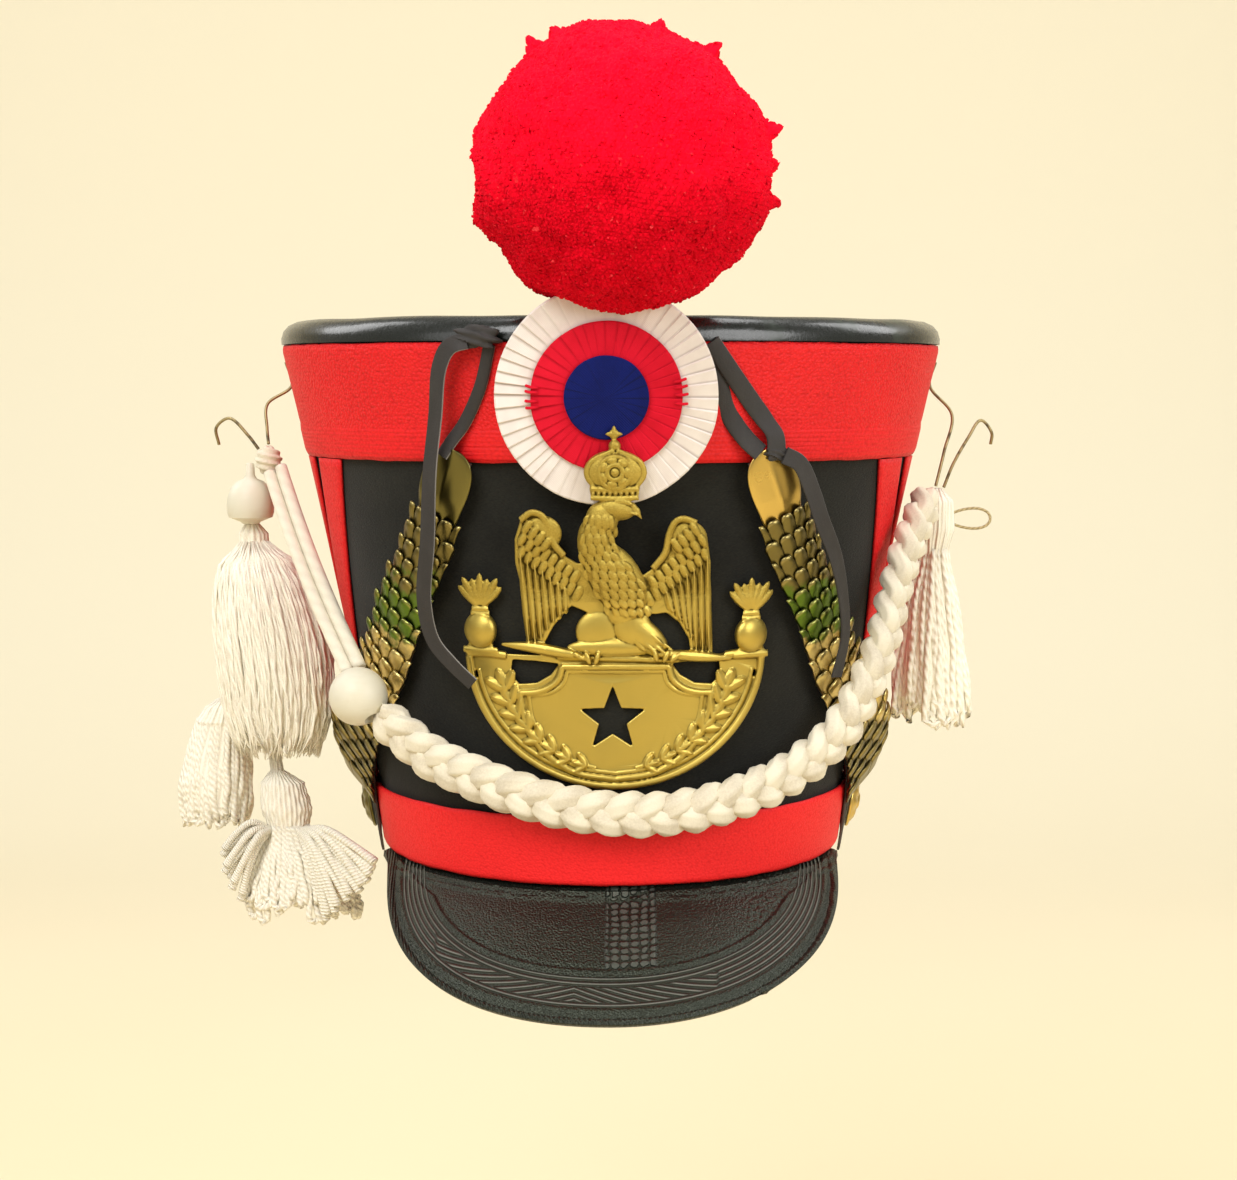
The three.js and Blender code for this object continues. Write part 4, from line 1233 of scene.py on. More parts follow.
    def _top(self) -> None:
        """Build the leather top with its rolled rim."""
        mould = Mould()
        middle = (CROWN.top[0] + CROWN.top[1]) / 2
        profile = [(max(0.0, middle + out), z) for out, z in self.top_profile]
        mould.spin(profile, 160)
        stretch = (CROWN.top[0] / middle, CROWN.top[1] / middle)

        def place(at: Vector) -> Vector:
            """The oval place of a round one, with the slack of hand-worked leather.

            Args:
                at: The round place.

            Returns:
                The oval place.
            """
            share = hypot(at.x, at.y) / middle
            slack = 0.5 * rough(at, 30.0, 1.0) * ease(0.86, 1.0, share) if at.z > self.top_face else 0.0
            sag = -1.2 * (1 - ease(0.0, 0.8, share)) if at.z > self.top_face else 0.0
            return Vector((at.x * stretch[0], at.y * stretch[1], at.z + slack + sag))

        mould.reshape(place)
        mould.piece("crown_top_leather", PatentLeather().material(), "top_leather", ["crown_top"], sharp=60)


@dataclass
class Peak:
    """The leather peak with its pressed lines, raised panel edge, seam and rolled rim."""

    half_angle: float = 75.0
    reach: float = 45.0
    drop: float = 37.0
    end_reach: float = 3.4
    end_drop: float = 1.2
    tuck: float = -1.6
    below_rim: float = 0.4
    narrowing: float = 1.2
    fullness: dict[Side, Pair] = field(default_factory=lambda: {
        Side.LEFT: (0.65, 0.0178), Side.RIGHT: (1.15, 0.0055),
    })
    leather: float = 2.2
    panel_inset: float = 22.0
    lift: Rows = ((0.0, 0.0), (0.32, 1.4), (0.68, 1.5), (0.93, 0.5), (1.0, 1.0))
    panel_ridges: Rows = ((0.0, 0.8, 0.75), (2.0, 0.8, -0.4))
    edge_ridges: Rows = ((1.4, 1.5, 1.0), (4.2, 0.9, -0.6), (6.6, 0.8, 0.4))
    seam_ridges: Rows = ((4.4, 0.8, 0.9), (6.0, 0.7, -0.4), (7.6, 0.8, 0.9))
    notch: Rows = ((52.0, 1.2, 1.6),)
    notch_reach: float = 4.0

    def _span(self, u: float) -> tuple[float, float, float, float]:
        """Bearing, swell, reach and drop at a share of the way round.

        Args:
            u: The share, from the left end to the right.

        Returns:
            The four numbers.
        """
        bearing = radians(blend(-self.half_angle, self.half_angle, u))
        power, growth = self.fullness[Side.RIGHT if bearing > 0 else Side.LEFT]
        swell = cos(self.narrowing * bearing) ** (power + growth * abs(degrees(bearing)))
        return bearing, swell, self.end_reach + self.reach * swell, self.end_drop + self.drop * swell

    def build(self) -> None:
        """Build and dress the peak."""
        mould = Mould()

        def spread(v: float) -> float:
            """Set the rows closer together towards the edge."""
            return 1 - (1 - v) ** 1.35

        def inset(u: float, at: float) -> float:
            """Distance in from the edge."""
            _, _, reach, drop = self._span(u)
            return (1 - at) * hypot(reach - self.tuck, drop)

        def place(u: float, v: float) -> Vector:
            """A place on the peak's upper face.

            Args:
                u: Share of the way round.
                v: Share of the way in from the edge.

            Returns:
                The place.
            """
            at = spread(1 - v)
            bearing, swell, reach, drop = self._span(u)
            spot = CROWN.point(bearing, 0.0, blend(self.tuck, reach, at))
            deep = inset(u, at)
            panel = min(self.panel_inset, 0.62 * hypot(reach, drop))
            lift = table(self.lift, at) * min(1.0, swell + 0.25)
            fade = min(1.0, swell * 4)
            lift += fade * humps(self.panel_ridges, deep - panel)
            lift += fade * humps(self.edge_ridges, deep)
            lift += fade * humps(self.seam_ridges, at * hypot(reach, drop))
            spot.z = lift - self.below_rim - drop * at
            spot.y += humps(self.notch, spot.x) * ease(self.notch_reach, 0.0, deep)
            return spot

        def edge_place(x: float, u: float, v: float) -> Pair:
            """The place across and the inset from the edge, in metres."""
            return x * MM, inset(u, spread(1 - v)) * MM

        mould.sheet(190, 96, place)
        mould.turn_out()
        mould.bm.normal_update()
        if sum(face.normal.z for face in mould.bm.faces) < 0:
            bmesh.ops.reverse_faces(mould.bm, faces=mould.bm.faces)
        mould.map_uv(lambda loop: edge_place(loop.vert.co.x, *loop[mould.uv].uv))
        leather = PeakLeather().material()
        mould.piece("peak_leather", leather, "peak_leather", ["peak"], wall=self.leather, sharp=70)


# Cockade and pompom


@dataclass
class Cockade:
    """Three pleated discs that lean with the front of the crown."""

    x: float = -1.0
    z: float = 172.0
    out: float = 4.8
    discs: tuple[tuple[str, Row], ...] = (
        ("cockade_white", (37.5, 0.0, 1.5, 52, 0.9, 21.0, 0.12)),
        ("cockade_red", (25.5, 1.9, 1.2, 40, 0.5, 11.0, 0.6)),
        ("cockade_blue", (14.2, 3.4, 1.2, 24, 0.0, 20.0, 0.0)),
    )
    stitches: tuple[float, ...] = (172.0, 176.0, 183.0, 188.0, 2.0, 8.0, 13.0, -5.0)

    def lean(self) -> float:
        """Slope of the crown's front at the cockade, out per unit of height."""
        return (CROWN.half(self.z + 1)[1] - CROWN.half(self.z - 1)[1]) / 2

    def frame(self) -> Matrix:
        """Where a disc drawn flat and facing +Z goes.

        Returns:
            The matrix.
        """
        seat = CROWN.point(0.0, self.z, self.out)
        turn = Matrix.Rotation(pi / 2 + atan(self.lean()), 4, "X")
        return Matrix.Translation(Vector((self.x, seat.y, seat.z))) @ turn

    def build(self) -> None:
        """Build and dress the three discs."""
        # Each cloth's last colour is the painted shade in its pleats' creases.
        cloths = (
            Cloth("cockade_white_cloth", (0.80, 0.74, 0.68), (0.66, 0.58, 0.53), (0.40, 0.33, 0.29)),
            Cloth("cockade_red_cloth", (0.66, 0.006, 0.025), (0.50, 0.003, 0.014), (0.30, 0.0, 0.008)),
            Cloth("cockade_blue_cloth", (0.003, 0.009, 0.11), (0.002, 0.005, 0.065), (0.002, 0.003, 0.02),
                  weave=0.0009),
        )
        for (node, row), cloth in zip(self.discs, cloths):
            self._disc(node, row, cloth.material())

    def _disc(self, node: str, row: Row, cloth: Material) -> None:
        """Build one disc from its radius, back, thickness, pleats, fold, plain middle and evenness.

        Args:
            node: The solid that it stands for.
            row: Those seven numbers.
            cloth: Its finish.
        """
        radius, back, thick, pleats, fold, plain, even = row
        mould = Mould()
        edge = radius - 0.5
        profile = [(0.0, 0.0), (edge, 0.0), (radius, 0.25), (radius, thick * 0.7), (edge, thick)]
        profile += [(radius * share / 12, thick + 0.25 * (1 - share / 12)) for share in range(11, -1, -1)]
        mould.spin(profile, int(pleats) * 8)

        def pleat(at: Vector) -> Pair:
            """Share of a pleat and depth of its fold at a place.

            Args:
                at: The place on the flat disc.

            Returns:
                The share and the depth, from 0 to 1.
            """
            turn = atan2(at.y, at.x)
            way = Vector((cos(turn), sin(turn), 0.0))
            side = max(even, abs(way.x) ** 1.6)
            share = (turn / tau * pleats + 0.4 * rough(way, 0.3)) % 1.0
            return share, ease(plain, radius * 0.8, at.xy.length) * side

        def place(at: Vector) -> Vector:
            """Fold the front of the disc into knife pleats.

            Args:
                at: The place on the flat disc.

            Returns:
                The folded place.
            """
            share, depth = pleat(at)
            front = 1.0 if at.z > thick * 0.5 else 0.0
            wobble = 1 + 0.008 * rough(at.normalized(), 0.35, radius)
            rise = back + front * fold * depth * (share - 0.5)
            return Vector((at.x * wobble, at.y * wobble, at.z + rise))

        mould.map_uv(lambda loop: pleat(loop.vert.co))
        mould.reshape(place)
        for turn in self.stitches if node == self.discs[1][0] else ():
            way = Vector((cos(radians(turn)), sin(radians(turn)), 0.0))
            high = Vector((0, 0, back + thick + 0.3))
            ends = way * (radius - 2.6) + high, way * (radius + 1.6) + high * 0.7
            mould.tube(Route([ends[0], way * radius + high * 1.1, ends[1]]), lambda u: 0.5, 6, 8)
        mould.move(self.frame())
        mould.piece(node + "_disc", cloth, node, [node], sharp=30)


@dataclass
class Pompom:
    """A ball of crimson wool on a flat stem behind the cockade."""

    middle: Row = (4.0, -129.0, 246.4)
    radius: float = 46.2
    stretch: Row = (1.055, 1.0, 1.01)
    pile: Pair = (0.3, 1.0)
    tip: float = 0.5
    wisps: Rows = (
        (-26.5, 38.5, 5.0), (-20.5, 43.0, 4.6), (12.0, 46.5, 4.6), (28.5, 38.5, 6.0), (46.0, 12.0, 5.4),
        (45.5, 1.0, 4.0), (44.5, -10.0, 4.4), (-42.0, -16.0, 2.4), (-46.0, 4.0, 2.0),
    )
    dents: Rows = (
        (-5.0, -45.0, -13.0, 2.4, 0.20), (24.0, -39.0, 4.0, 2.8, 0.22), (-30.0, -34.0, 8.0, 1.6, 0.25),
    )
    ripples: Rows = ((19.0, 0.0, 3.0), (8.0, 1.0, 1.3), (4.0, 2.0, 0.8))
    stem_span: Pair = (152.0, 226.0)
    stem_half: Pair = (4.6, 0.8)
    stem_out: float = 3.4
    seed: int = 7

    def _surface(self, way: Vector) -> Vector:
        """The lumpy ball's surface in a direction.

        Args:
            way: The direction, of length 1.

        Returns:
            The place.
        """
        spot = way * self.radius
        swell = sum(height * rough(spot, size, seed) for size, seed, height in self.ripples)
        for x, y, z, depth, width in self.dents:
            swell -= depth * bell((way - Vector((x, y, z)).normalized()).length, 0.0, width)
        for x, z, rise in self.wisps:
            swell += rise * bell((way - Vector((x, -4.0, z)).normalized()).length, 0.0, 0.045)
        return way * Vector(self.stretch) * (self.radius + swell)

    def build(self) -> None:
        """Build and dress the ball and its stem."""
        mould = Mould()
        bmesh.ops.create_icosphere(mould.bm, subdivisions=6, radius=1.0)
        mould.reshape(lambda at: self._surface(at.normalized()))
        chance = random.Random(self.seed)
        mould.bm.normal_update()
        locks = bmesh.ops.extrude_discrete_faces(mould.bm, faces=mould.bm.faces[:])["faces"]
        for face in locks:
            middle = face.calc_center_median()
            way = middle.normalized()
            lean = Vector([chance.uniform(-0.9, 0.9) for _ in range(3)])
            rise = chance.uniform(*self.pile)
            lift = way * rise + (lean - way * lean.dot(way)) * rise
            for vert in face.verts:
                vert.co = middle + (vert.co - middle) * self.tip + lift
        mould.move(Matrix.Translation(Vector(self.middle)))
        ball = mould.piece("pompom_wool", Wool().material(), "red_wool", ["pompom"], sharp=180)
        self._stem()

    def _stem(self) -> None:
        """Build the flat wire stem that carries the ball."""
        mould = Mould()
        foot = CROWN.point(0.0, self.stem_span[0], 0.0).y
        lean = Cockade().lean()
        made = bmesh.ops.create_cube(mould.bm, size=2.0)
        for vert in made["verts"]:
            z = blend(*self.stem_span, (vert.co.z + 1) / 2)
            y = foot - (z - self.stem_span[0]) * lean - self.stem_out + vert.co.y * self.stem_half[1]
            vert.co = Vector((self.middle[0] + vert.co.x * self.stem_half[0], y, z))
        bmesh.ops.bevel(mould.bm, geom=mould.bm.edges[:], offset=0.35, affect="EDGES", segments=2,
                        profile=0.5, material=-1)
        mould.close()
        mould.piece("pompom_stem_flat", Wire().material(), "wire", ["pompom_stem"])


# Front plate


@dataclass
class FrontPlate:
    """The stamped brass plate: an eagle on a crescent shield between two grenades.

    It is modelled flat, with x from its middle line, y up from its lowest point and z out of the hat,
    and then bent round the crown.
    """

    x: float = 2.0
    foot: float = 35.0
    standoff: Rows = ((0.0, 0.8), (104.0, 0.8), (133.0, 7.0), (150.0, 8.7), (164.0, 9.9))
    sheet: float = 1.3
    half_width: float = 52.5
    top: float = 47.5
    grain: float = 0.34
    soften: int = 9
    keep: float = 0.4
    wing_left: Rows = (
        (-10, 80), (-13, 80), (-17.5, 82.7), (-21.3, 87.5), (-22.7, 93), (-25, 96.6), (-28.5, 97.6),
        (-32.3, 94.8), (-34.4, 88.2), (-34.4, 80), (-32.3, 70.6), (-30.9, 61.6), (-31, 50.5), (-25.1, 50.5),
        (-21.3, 57.8), (-17.5, 62.5), (-15, 65), (-8, 62), (-2, 60.5), (0, 70),
    )
    wing_right: Rows = (
        (6, 75), (8.2, 75), (12.7, 78.2), (16.8, 83.7), (18.2, 90.3), (20.3, 94.5), (23, 95.5), (27.5, 93.8),
        (31.3, 88.2), (32.6, 80), (32.6, 70.6), (33.3, 61.6), (33.7, 47), (26.1, 47), (25.1, 53.3),
        (22, 58.8), (17.5, 62.5), (13.5, 62), (8, 63), (4, 70),
    )
    quills_left: Rows = (
        (-32.6, 83, -30.0, 50.9), (-30.2, 81, -27.7, 50.9), (-27.6, 79, -25.6, 52.0),
        (-25.0, 77, -23.4, 55.4), (-22.4, 75, -21.2, 58.4), (-19.8, 73, -19.0, 60.4),
        (-17.4, 71.4, -17.0, 62.4),
    )
    quills_right: Rows = (
        (31.4, 82, 32.4, 47.6), (29.2, 80, 30.1, 47.4), (26.8, 78, 27.9, 47.8), (24.4, 76, 26.2, 51.8),
        (22.0, 74, 24.6, 55.6), (19.6, 72, 22.4, 58.8), (17.4, 70, 19.8, 61.8),
    )
    coverts: Rows = (
        (-31.8, 84.0, -13.0, 69.4, 9, -24), (-31.6, 88.4, -14.0, 75.0, 8, -30),
        (-30.0, 92.6, -23.6, 86.6, 4, -34), (30.4, 83.0, 11.4, 67.8, 9, 24),
        (29.6, 87.8, 13.0, 73.0, 8, 30), (27.0, 91.6, 20.8, 86.0, 4, 34),
    )
    figure: Rows = (
        (0.4, 74.5, 8.6, 14.6, 5.2, 30), (-6.6, 86.4, 6.4, 10.4, 4.6, 6), (-4.6, 95.4, 5.6, 6.2, 4.4, -14),
        (0.0, 98.9, 6.8, 3.9, 4.2, -8), (-25.5, 90.0, 7.4, 6.6, 2.4, 12), (24.4, 88.0, 7.0, 6.8, 2.4, -12),
        (-6.2, 56.4, 7.8, 7.2, 2.2, 30), (-4.6, 53.0, 7.6, 4.6, 1.9, -24), (-10.6, 50.8, 2.4, 5.2, 1.8, -52),
        (9.0, 55.4, 5.2, 11.4, 3.1, 50), (5.8, 57.6, 6.6, 7.8, 3.1, 24), (4.0, 63.0, 7.0, 5.0, 3.4, 20),
        (-1.0, 50.4, 16.0, 3.4, 2.6, 0),
    )
    breast_middle: Rows = ((63, 5.0), (74, -0.4), (84, -6.0), (96, -5.0))
    breast_spread: Rows = ((63, 7.0), (74, 8.6), (84, 5.8), (96, 4.4))
    leg_feathers: Rows = (
        (8.0, 51.6, 42), (11.4, 51.0, 48), (14.6, 50.4, 54), (14.0, 53.6, 50), (17.2, 51.2, 56),
    )
    claws: Rows = (
        (-12.6, 47.6, 58), (-9.6, 47.0, 20), (-6.4, 47.0, -16), (13.8, 47.8, 16), (17.4, 47.4, -24),
        (20.6, 47.0, -52),
    )
    beak: Rows = (
        (2, 101.6), (6.0, 101.2), (8.2, 98.8), (9.0, 95.2), (7.0, 96.8), (4.6, 97.2), (2, 96),
    )
    star: Row = (-1.0, 25.0, 12.0, 5.0)
    grenades: Rows = ((-47.0, 56.0), (47.2, 54.2))
    mould: Mould = field(init=False, default_factory=Mould)

    def build(self) -> None:
        """Build, bend and dress the plate."""
        mould = self.mould
        self._shield()
        self._wings()
        self._eagle()
        self._crown()
        for x, y in self.grenades:
            self._grenade(x, y)
        mould.turn_out()
        mould.through("REMESH", mode="VOXEL", voxel_size=self.grain)
        bmesh.ops.smooth_vert(
            mould.bm, verts=mould.bm.verts, factor=0.5, use_axis_x=True, use_axis_y=True, use_axis_z=True
        )
        # How far each place lies below its softened surroundings; the brass paints shade into the hollows and
        # highlights onto the ridges from it.
        cavity = mould.bm.verts.layers.float.new("cavity")
        depths = [max(0.0, vert.co.z) for vert in mould.bm.verts]
        for _ in range(self.soften):
            bmesh.ops.smooth_vert(mould.bm, verts=mould.bm.verts, factor=0.5, use_axis_z=True)
        for vert, depth in zip(mould.bm.verts, depths):
            vert[cavity] = vert.co.z - depth
            vert.co.z = depth
        mould.through("DECIMATE", ratio=self.keep)

        def place(at: Vector) -> Vector:
            """The bent place of a flat one."""
            z = self.foot + at.y
            return CROWN.behind(self.x + at.x, z, table(self.standoff, z) + at.z)

        mould.reshape(place)
        # The plate's brass carries painted shade in its hollows and painted highlights on its ridges.
        brass = Brass("plate_brass", stipple_from=0.100, gloss=0.4, relief=True)
        mould.piece("front_plate_relief", brass.material(), "brass", ["front_plate"], sharp=180)

    def _slab(self, outlines: Sequence[Sequence[Row]], depth: float, back: float = -0.6,
              round_: float = 0.3) -> None:
        """Add a flat sheet from closed outlines; an outline inside another is a hole.

        Args:
            outlines: Closed lines of x and y.
            depth: How far the sheet stands out.
            back: Where its rear face lies.
            round_: How far its edges are rounded.
        """
        curve = bpy.data.curves.new("outline", "CURVE")
        curve.dimensions = "2D"
        curve.fill_mode = "BOTH"
        curve.extrude = (depth - back) / 2 - round_
        curve.bevel_depth = round_
        curve.bevel_resolution = 1
        curve.offset = -round_
        for points in outlines:
            spline = curve.splines.new("POLY")
            spline.points.add(len(points) - 1)
            for target, (x, y) in zip(spline.points, points):
                target.co = (x, y, 0.0, 1.0)
            spline.use_cyclic_u = True
        holder = bpy.data.objects.new("outline", curve)
        link(holder)
        part = Mould()
        part.take(holder)
        part.move(Matrix.Translation((0, 0, (depth + back) / 2)))
        self.mould.absorb(part)
        bpy.data.curves.remove(curve)

    def _bead(self, points: Sequence[Row], radius: float, z: float, taper: float = 0.0) -> None:
        """Add a raised line along points of x and y.

        Args:
            points: The points.
            radius: The line's radius.
            z: The height of its middle.
            taper: How much thinner its ends are, from 0 to 1.
        """
        route = Route([Vector((x, y, z)) for x, y in points])
        steps = max(6, int(route.length / 1.4))
        self.mould.tube(route, lambda u: radius * (1 - taper * abs(2 * u - 1) ** 2), 8, steps)

    def _arc(self, inset: float, start: float, end: float, steps: int = 40) -> list[Row]:
        """Points along the shield's curved edge, set in from it, between two angles in degrees.

        Args:
            inset: How far they are set in.
            start: The first angle.
            end: The last angle.
            steps: How many spans there are.

        Returns:
            The points.
        """
        spread, depth = self.half_width - inset, self.top - inset
        turns = [radians(blend(start, end, i / steps)) for i in range(steps + 1)]
        return [(spread * cos(t), self.top + depth * sin(t)) for t in turns]

    def _shield(self) -> None:
        """Add the crescent shield with its frames, leaf sprays, perch and pierced star."""
        x, y, *radii = self.star
        star = []
        for i in range(10):
            turn = pi / 2 + i * pi / 5
            star.append((x + radii[i % 2] * cos(turn), y + radii[i % 2] * sin(turn)))
        lunette = [(35.8, 45.6), (28.0, 45.4), (19.4, 44.6), (22.4, 40.6), (27.4, 37.6), (33.4, 37.0),
                   (36.4, 40.4)]
        holes = [[(sign * x, y) for x, y in lunette] for sign in (-1, 1)]
        turns = [i * tau / 8 for i in range(8)]
        nails = [[(sign * 48.2 + 0.9 * cos(t), 40.0 + 1.6 * sin(t)) for t in turns] for sign in (-1, 1)]
        self._slab([self._arc(0.0, 180, 360, 72), *holes, *nails, star], self.sheet)
        self._bead(self._arc(1.3, 182, 358), 1.35, self.sheet)
        self._bead(self._arc(4.2, 188, 352), 0.6, self.sheet)
        panel = [(-17.5, 42.6), (-18.6, 38.6), (-21.6, 35.6), (-26.0, 33.9), (-31.5, 33.4)]
        low = [(-31.5, 33.4), (-30.0, 24.5), (-24.2, 14.6), (-13.8, 7.4), (0.0, 5.0)]
        for scale, radius in ((1.06, 1.15), (0.96, 0.5)):
            for sign in (-1, 1):
                for line in (panel, low):
                    points = [(sign * x * scale, 26 + (y - 26) * scale) for x, y in line]
                    self._bead(points, radius, self.sheet)
            top = [(x * scale, 26 + y * scale) for x, y in ((-17.5, 16.6), (0, 16.7), (17.5, 16.6))]
            self._bead(top, radius, self.sheet)
        self._bead([(-20, 46.8), (0, 46.6), (22, 45.8)], 1.0, self.sheet)
        for sign in (-1, 1):
            self._bead([(sign * x, y) for x, y in ((52, 47.4), (44, 47.6), (38, 47.0))], 1.5, self.sheet)
            self._spray(sign)
        self._bead([(-39.5, 51.0), (-30, 50.4), (-18, 48.6), (-8, 46.8)], 2.1, 2.0, 0.75)
        self._bead([(40.2, 45.8), (32, 46.6), (22, 47.6), (12, 48.4)], 2.1, 2.0, 0.75)

    def _spray(self, sign: int) -> None:
        """Add the leaf spray on one side of the shield.

        Args:
            sign: 1 for the right side and -1 for the left.
        """
        turns = enumerate(range(201, 265, 4))
        stem = [self._arc(blend(11.4, 7.0, i / 16), turn, turn, 1)[0] for i, turn in turns]
        self._bead([(sign * -x, y) for x, y in stem], 0.5, self.sheet)
        for i in range(1, len(stem), 2):
            (x0, y0), (x1, y1) = stem[i], stem[i - 1]
            along = degrees(atan2(y1 - y0, x1 - x0)) - 90
            size = blend(1.25, 0.8, i / len(stem))
            for lean in (42, -42, 0):
                turn = radians(along + lean)
                at = (x1 - 3.0 * size * sin(turn), y1 + 3.0 * size * cos(turn))
                half = (1.55 * size, 3.7 * size, 1.2)
                self.mould.dome((sign * -at[0], at[1], self.sheet), half, -sign * (along + lean), (10, 8))
                tip = (x1 - 6.0 * size * sin(turn), y1 + 6.0 * size * cos(turn))
                self._bead([(sign * -x, y) for x, y in ((x1, y1), at, tip)], 0.3, self.sheet + 1.1)

    def _wings(self) -> None:
        """Add both wings: their sheets, long quills and rows of small feathers."""
        for outline in (self.wing_left, self.wing_right):
            self._slab([outline], 1.7, round_=0.5)
        for rows in (self.quills_left, self.quills_right):
            for top_x, top_y, foot_x, foot_y in rows:
                long = hypot(top_x - foot_x, top_y - foot_y)
                lean = degrees(atan2(foot_x - top_x, top_y - foot_y))
                middle = ((top_x + foot_x) / 2, (top_y + foot_y) / 2, 1.2)
                self.mould.dome(middle, (1.28, long / 2 + 0.6, 1.5), lean, (10, 12))
                self._bead([(top_x, top_y), middle[:2], (foot_x, foot_y + 1)], 0.32, 2.6)
        for x0, y0, x1, y1, count, lean in self.coverts:
            for i in range(int(count)):
                share = i / (count - 1)
                x, y = blend(x0, x1, share), blend(y0, y1, share)
                self.mould.dome((x, y, self._height(x, y) + 0.2), (1.35, 2.9, 1.0), lean, (10, 8))
        for edge in (self.wing_left[2:8], self.wing_right[2:8]):
            self._bead(edge, 1.2, 1.8)

    def _height(self, x: float, y: float) -> float:
        """How far the plate's rounded forms stand out at a place.

        Args:
            x: The place across.
            y: The place up.

        Returns:
            The height, in millimetres.
        """
        best = 1.4
        for cx, cy, half_x, half_y, half_z, lean in self.figure:
            turn = radians(-lean)
            u = (x - cx) * cos(turn) - (y - cy) * sin(turn)
            v = (x - cx) * sin(turn) + (y - cy) * cos(turn)
            inside = 1 - (u / half_x) ** 2 - (v / half_y) ** 2
            if inside > 0:
                best = max(best, half_z * (0.3 + sqrt(inside)))
        return best

    def _eagle(self) -> None:
        """Add the eagle's body, head, beak, thighs, claws and feathers."""
        for x, y, half_x, half_y, half_z, lean in self.figure:
            self.mould.dome((x, y, half_z * 0.3), (half_x, half_y, half_z), lean, (24, 16))
        self._slab([self.beak], 3.6, round_=0.8)
        self.mould.dome((2.6, 99.8, 4.2), (1.1, 0.9, 0.8), 0, (8, 6))
        self._bead([(0, 101.6), (3, 101.4), (5.6, 100.6)], 0.6, 4.2)
        self._bead([(2.0, 97.4), (4.8, 97.6), (7.4, 97.0)], 0.35, 3.8)
        chance = random.Random(3)
        for row in range(11):
            y = 63.5 + row * 3.1
            count = 6 if row < 6 else 5
            for i in range(count):
                share = (i + 0.5 * (row % 2)) / (count - 0.5)
                x = table(self.breast_middle, y) + (share - 0.5) * 2 * table(self.breast_spread, y)
                lean = 30 - 30 * ease(76, 92, y) + 24 * (share - 0.5) + chance.uniform(-5, 5)
                self.mould.dome((x, y, self._height(x, y) - 0.15), (1.4, 2.6, 0.95), lean, (10, 8))
        for x, y, lean in self.leg_feathers:
            self.mould.dome((x, y, self._height(x, y) - 0.1), (0.6, 3.4, 0.6), lean, (8, 6))
        for x, y, lean in self.claws:
            self.mould.dome((x, y, 3.2), (1.0, 2.6, 1.3), lean, (10, 8))

    def _crown(self) -> None:
        """Add the closed crown over the eagle's head, with its orb and cross."""
        self.mould.dome((-0.2, 111.4, 1.2), (10.6, 7.6, 4.0), 0, (28, 16))
        self._slab([[(-8.2, 102.4), (7.4, 102.4), (8.2, 106.2), (-8.8, 106.2)]], 3.6, round_=0.7)
        for y, radius in ((102.8, 0.9), (105.8, 0.9)):
            self._bead([(-8.4, y), (0, y - 0.4), (7.8, y)], radius, 3.6)
        for sign in (-1, 1):
            bow = ((6.72, 106.2), (9.6, 110.6), (8.256, 114.8), (0.6, 118.6))
            self._bead([(sign * x, y) for x, y in bow], 1.0, 2.696)
        for i in range(9):
            self.mould.dome((-7.6 + 1.9 * i, 104.3, 4.1), (0.55, 0.55, 0.55), 0, (6, 5))
        for ring in (2.6, 5.4):
            turns = [i * tau / 14 for i in range(15)]
            points = [(ring * cos(t) - 0.2, 111.4 + ring * sin(t)) for t in turns]
            self._bead(points, 0.7, 5.1 - 0.03 * ring * ring)
        for i in range(7):
            turn = i * tau / 7
            at = (-0.2 + 4.0 * cos(turn), 111.4 + 4.0 * sin(turn), 4.7)
            self.mould.dome(at, (1.0, 1.7, 0.8), degrees(turn), (8, 6))
        self.mould.dome((-0.2, 111.4, 4.9), (1.4, 1.4, 1.1), 0, (10, 8))
        self.mould.dome((-0.3, 120.2, 1.4), (2.1, 2.1, 2.1), 0, (14, 10))
        for lean in (0, 90):
            self.mould.dome((-0.5, 124.2, 1.2), (0.95, 3.2, 0.95), lean, (8, 8))
        for lean in (45, 135):
            self.mould.dome((-0.5, 124.2, 1.2), (0.6, 1.9, 0.7), lean, (8, 6))

    def _grenade(self, x: float, y: float) -> None:
        """Add one flaming grenade on its moulded foot.

        Args:
            x: The middle of its ball, across.
            y: The middle of its ball, up.
        """
        self.mould.dome((x, y - 0.4, 1.2), (5.9, 6.6, 4.4), 0, (24, 16))
        foot = [(x - 5.4, y - 8.8), (x + 5.4, y - 8.8), (x + 3.8, y - 3.6), (x - 3.8, y - 3.6)]
        self._slab([foot], 2.6, round_=0.6)
        self._bead([(x - 6.2, y - 7.4), (x, y - 7.5), (x + 6.2, y - 7.4)], 1.3, 1.9)
        for up, half in ((5.6, 3.4), (7.2, 3.0)):
            self._bead([(x - half, y + up), (x, y + up), (x + half, y + up)], 0.95, 2.2)
        for i in range(7):
            lean = -45 + 15 * i
            turn = radians(lean)
            reach = 9.6 + (1.4 if i % 2 else 0.0)
            at = (x - sin(turn) * reach * 0.6, y + 7.4 + cos(turn) * reach * 0.6, 1.8)
            self.mould.dome(at, (1.55, reach * 0.56, 1.6), lean, (10, 10))


# Chin scales


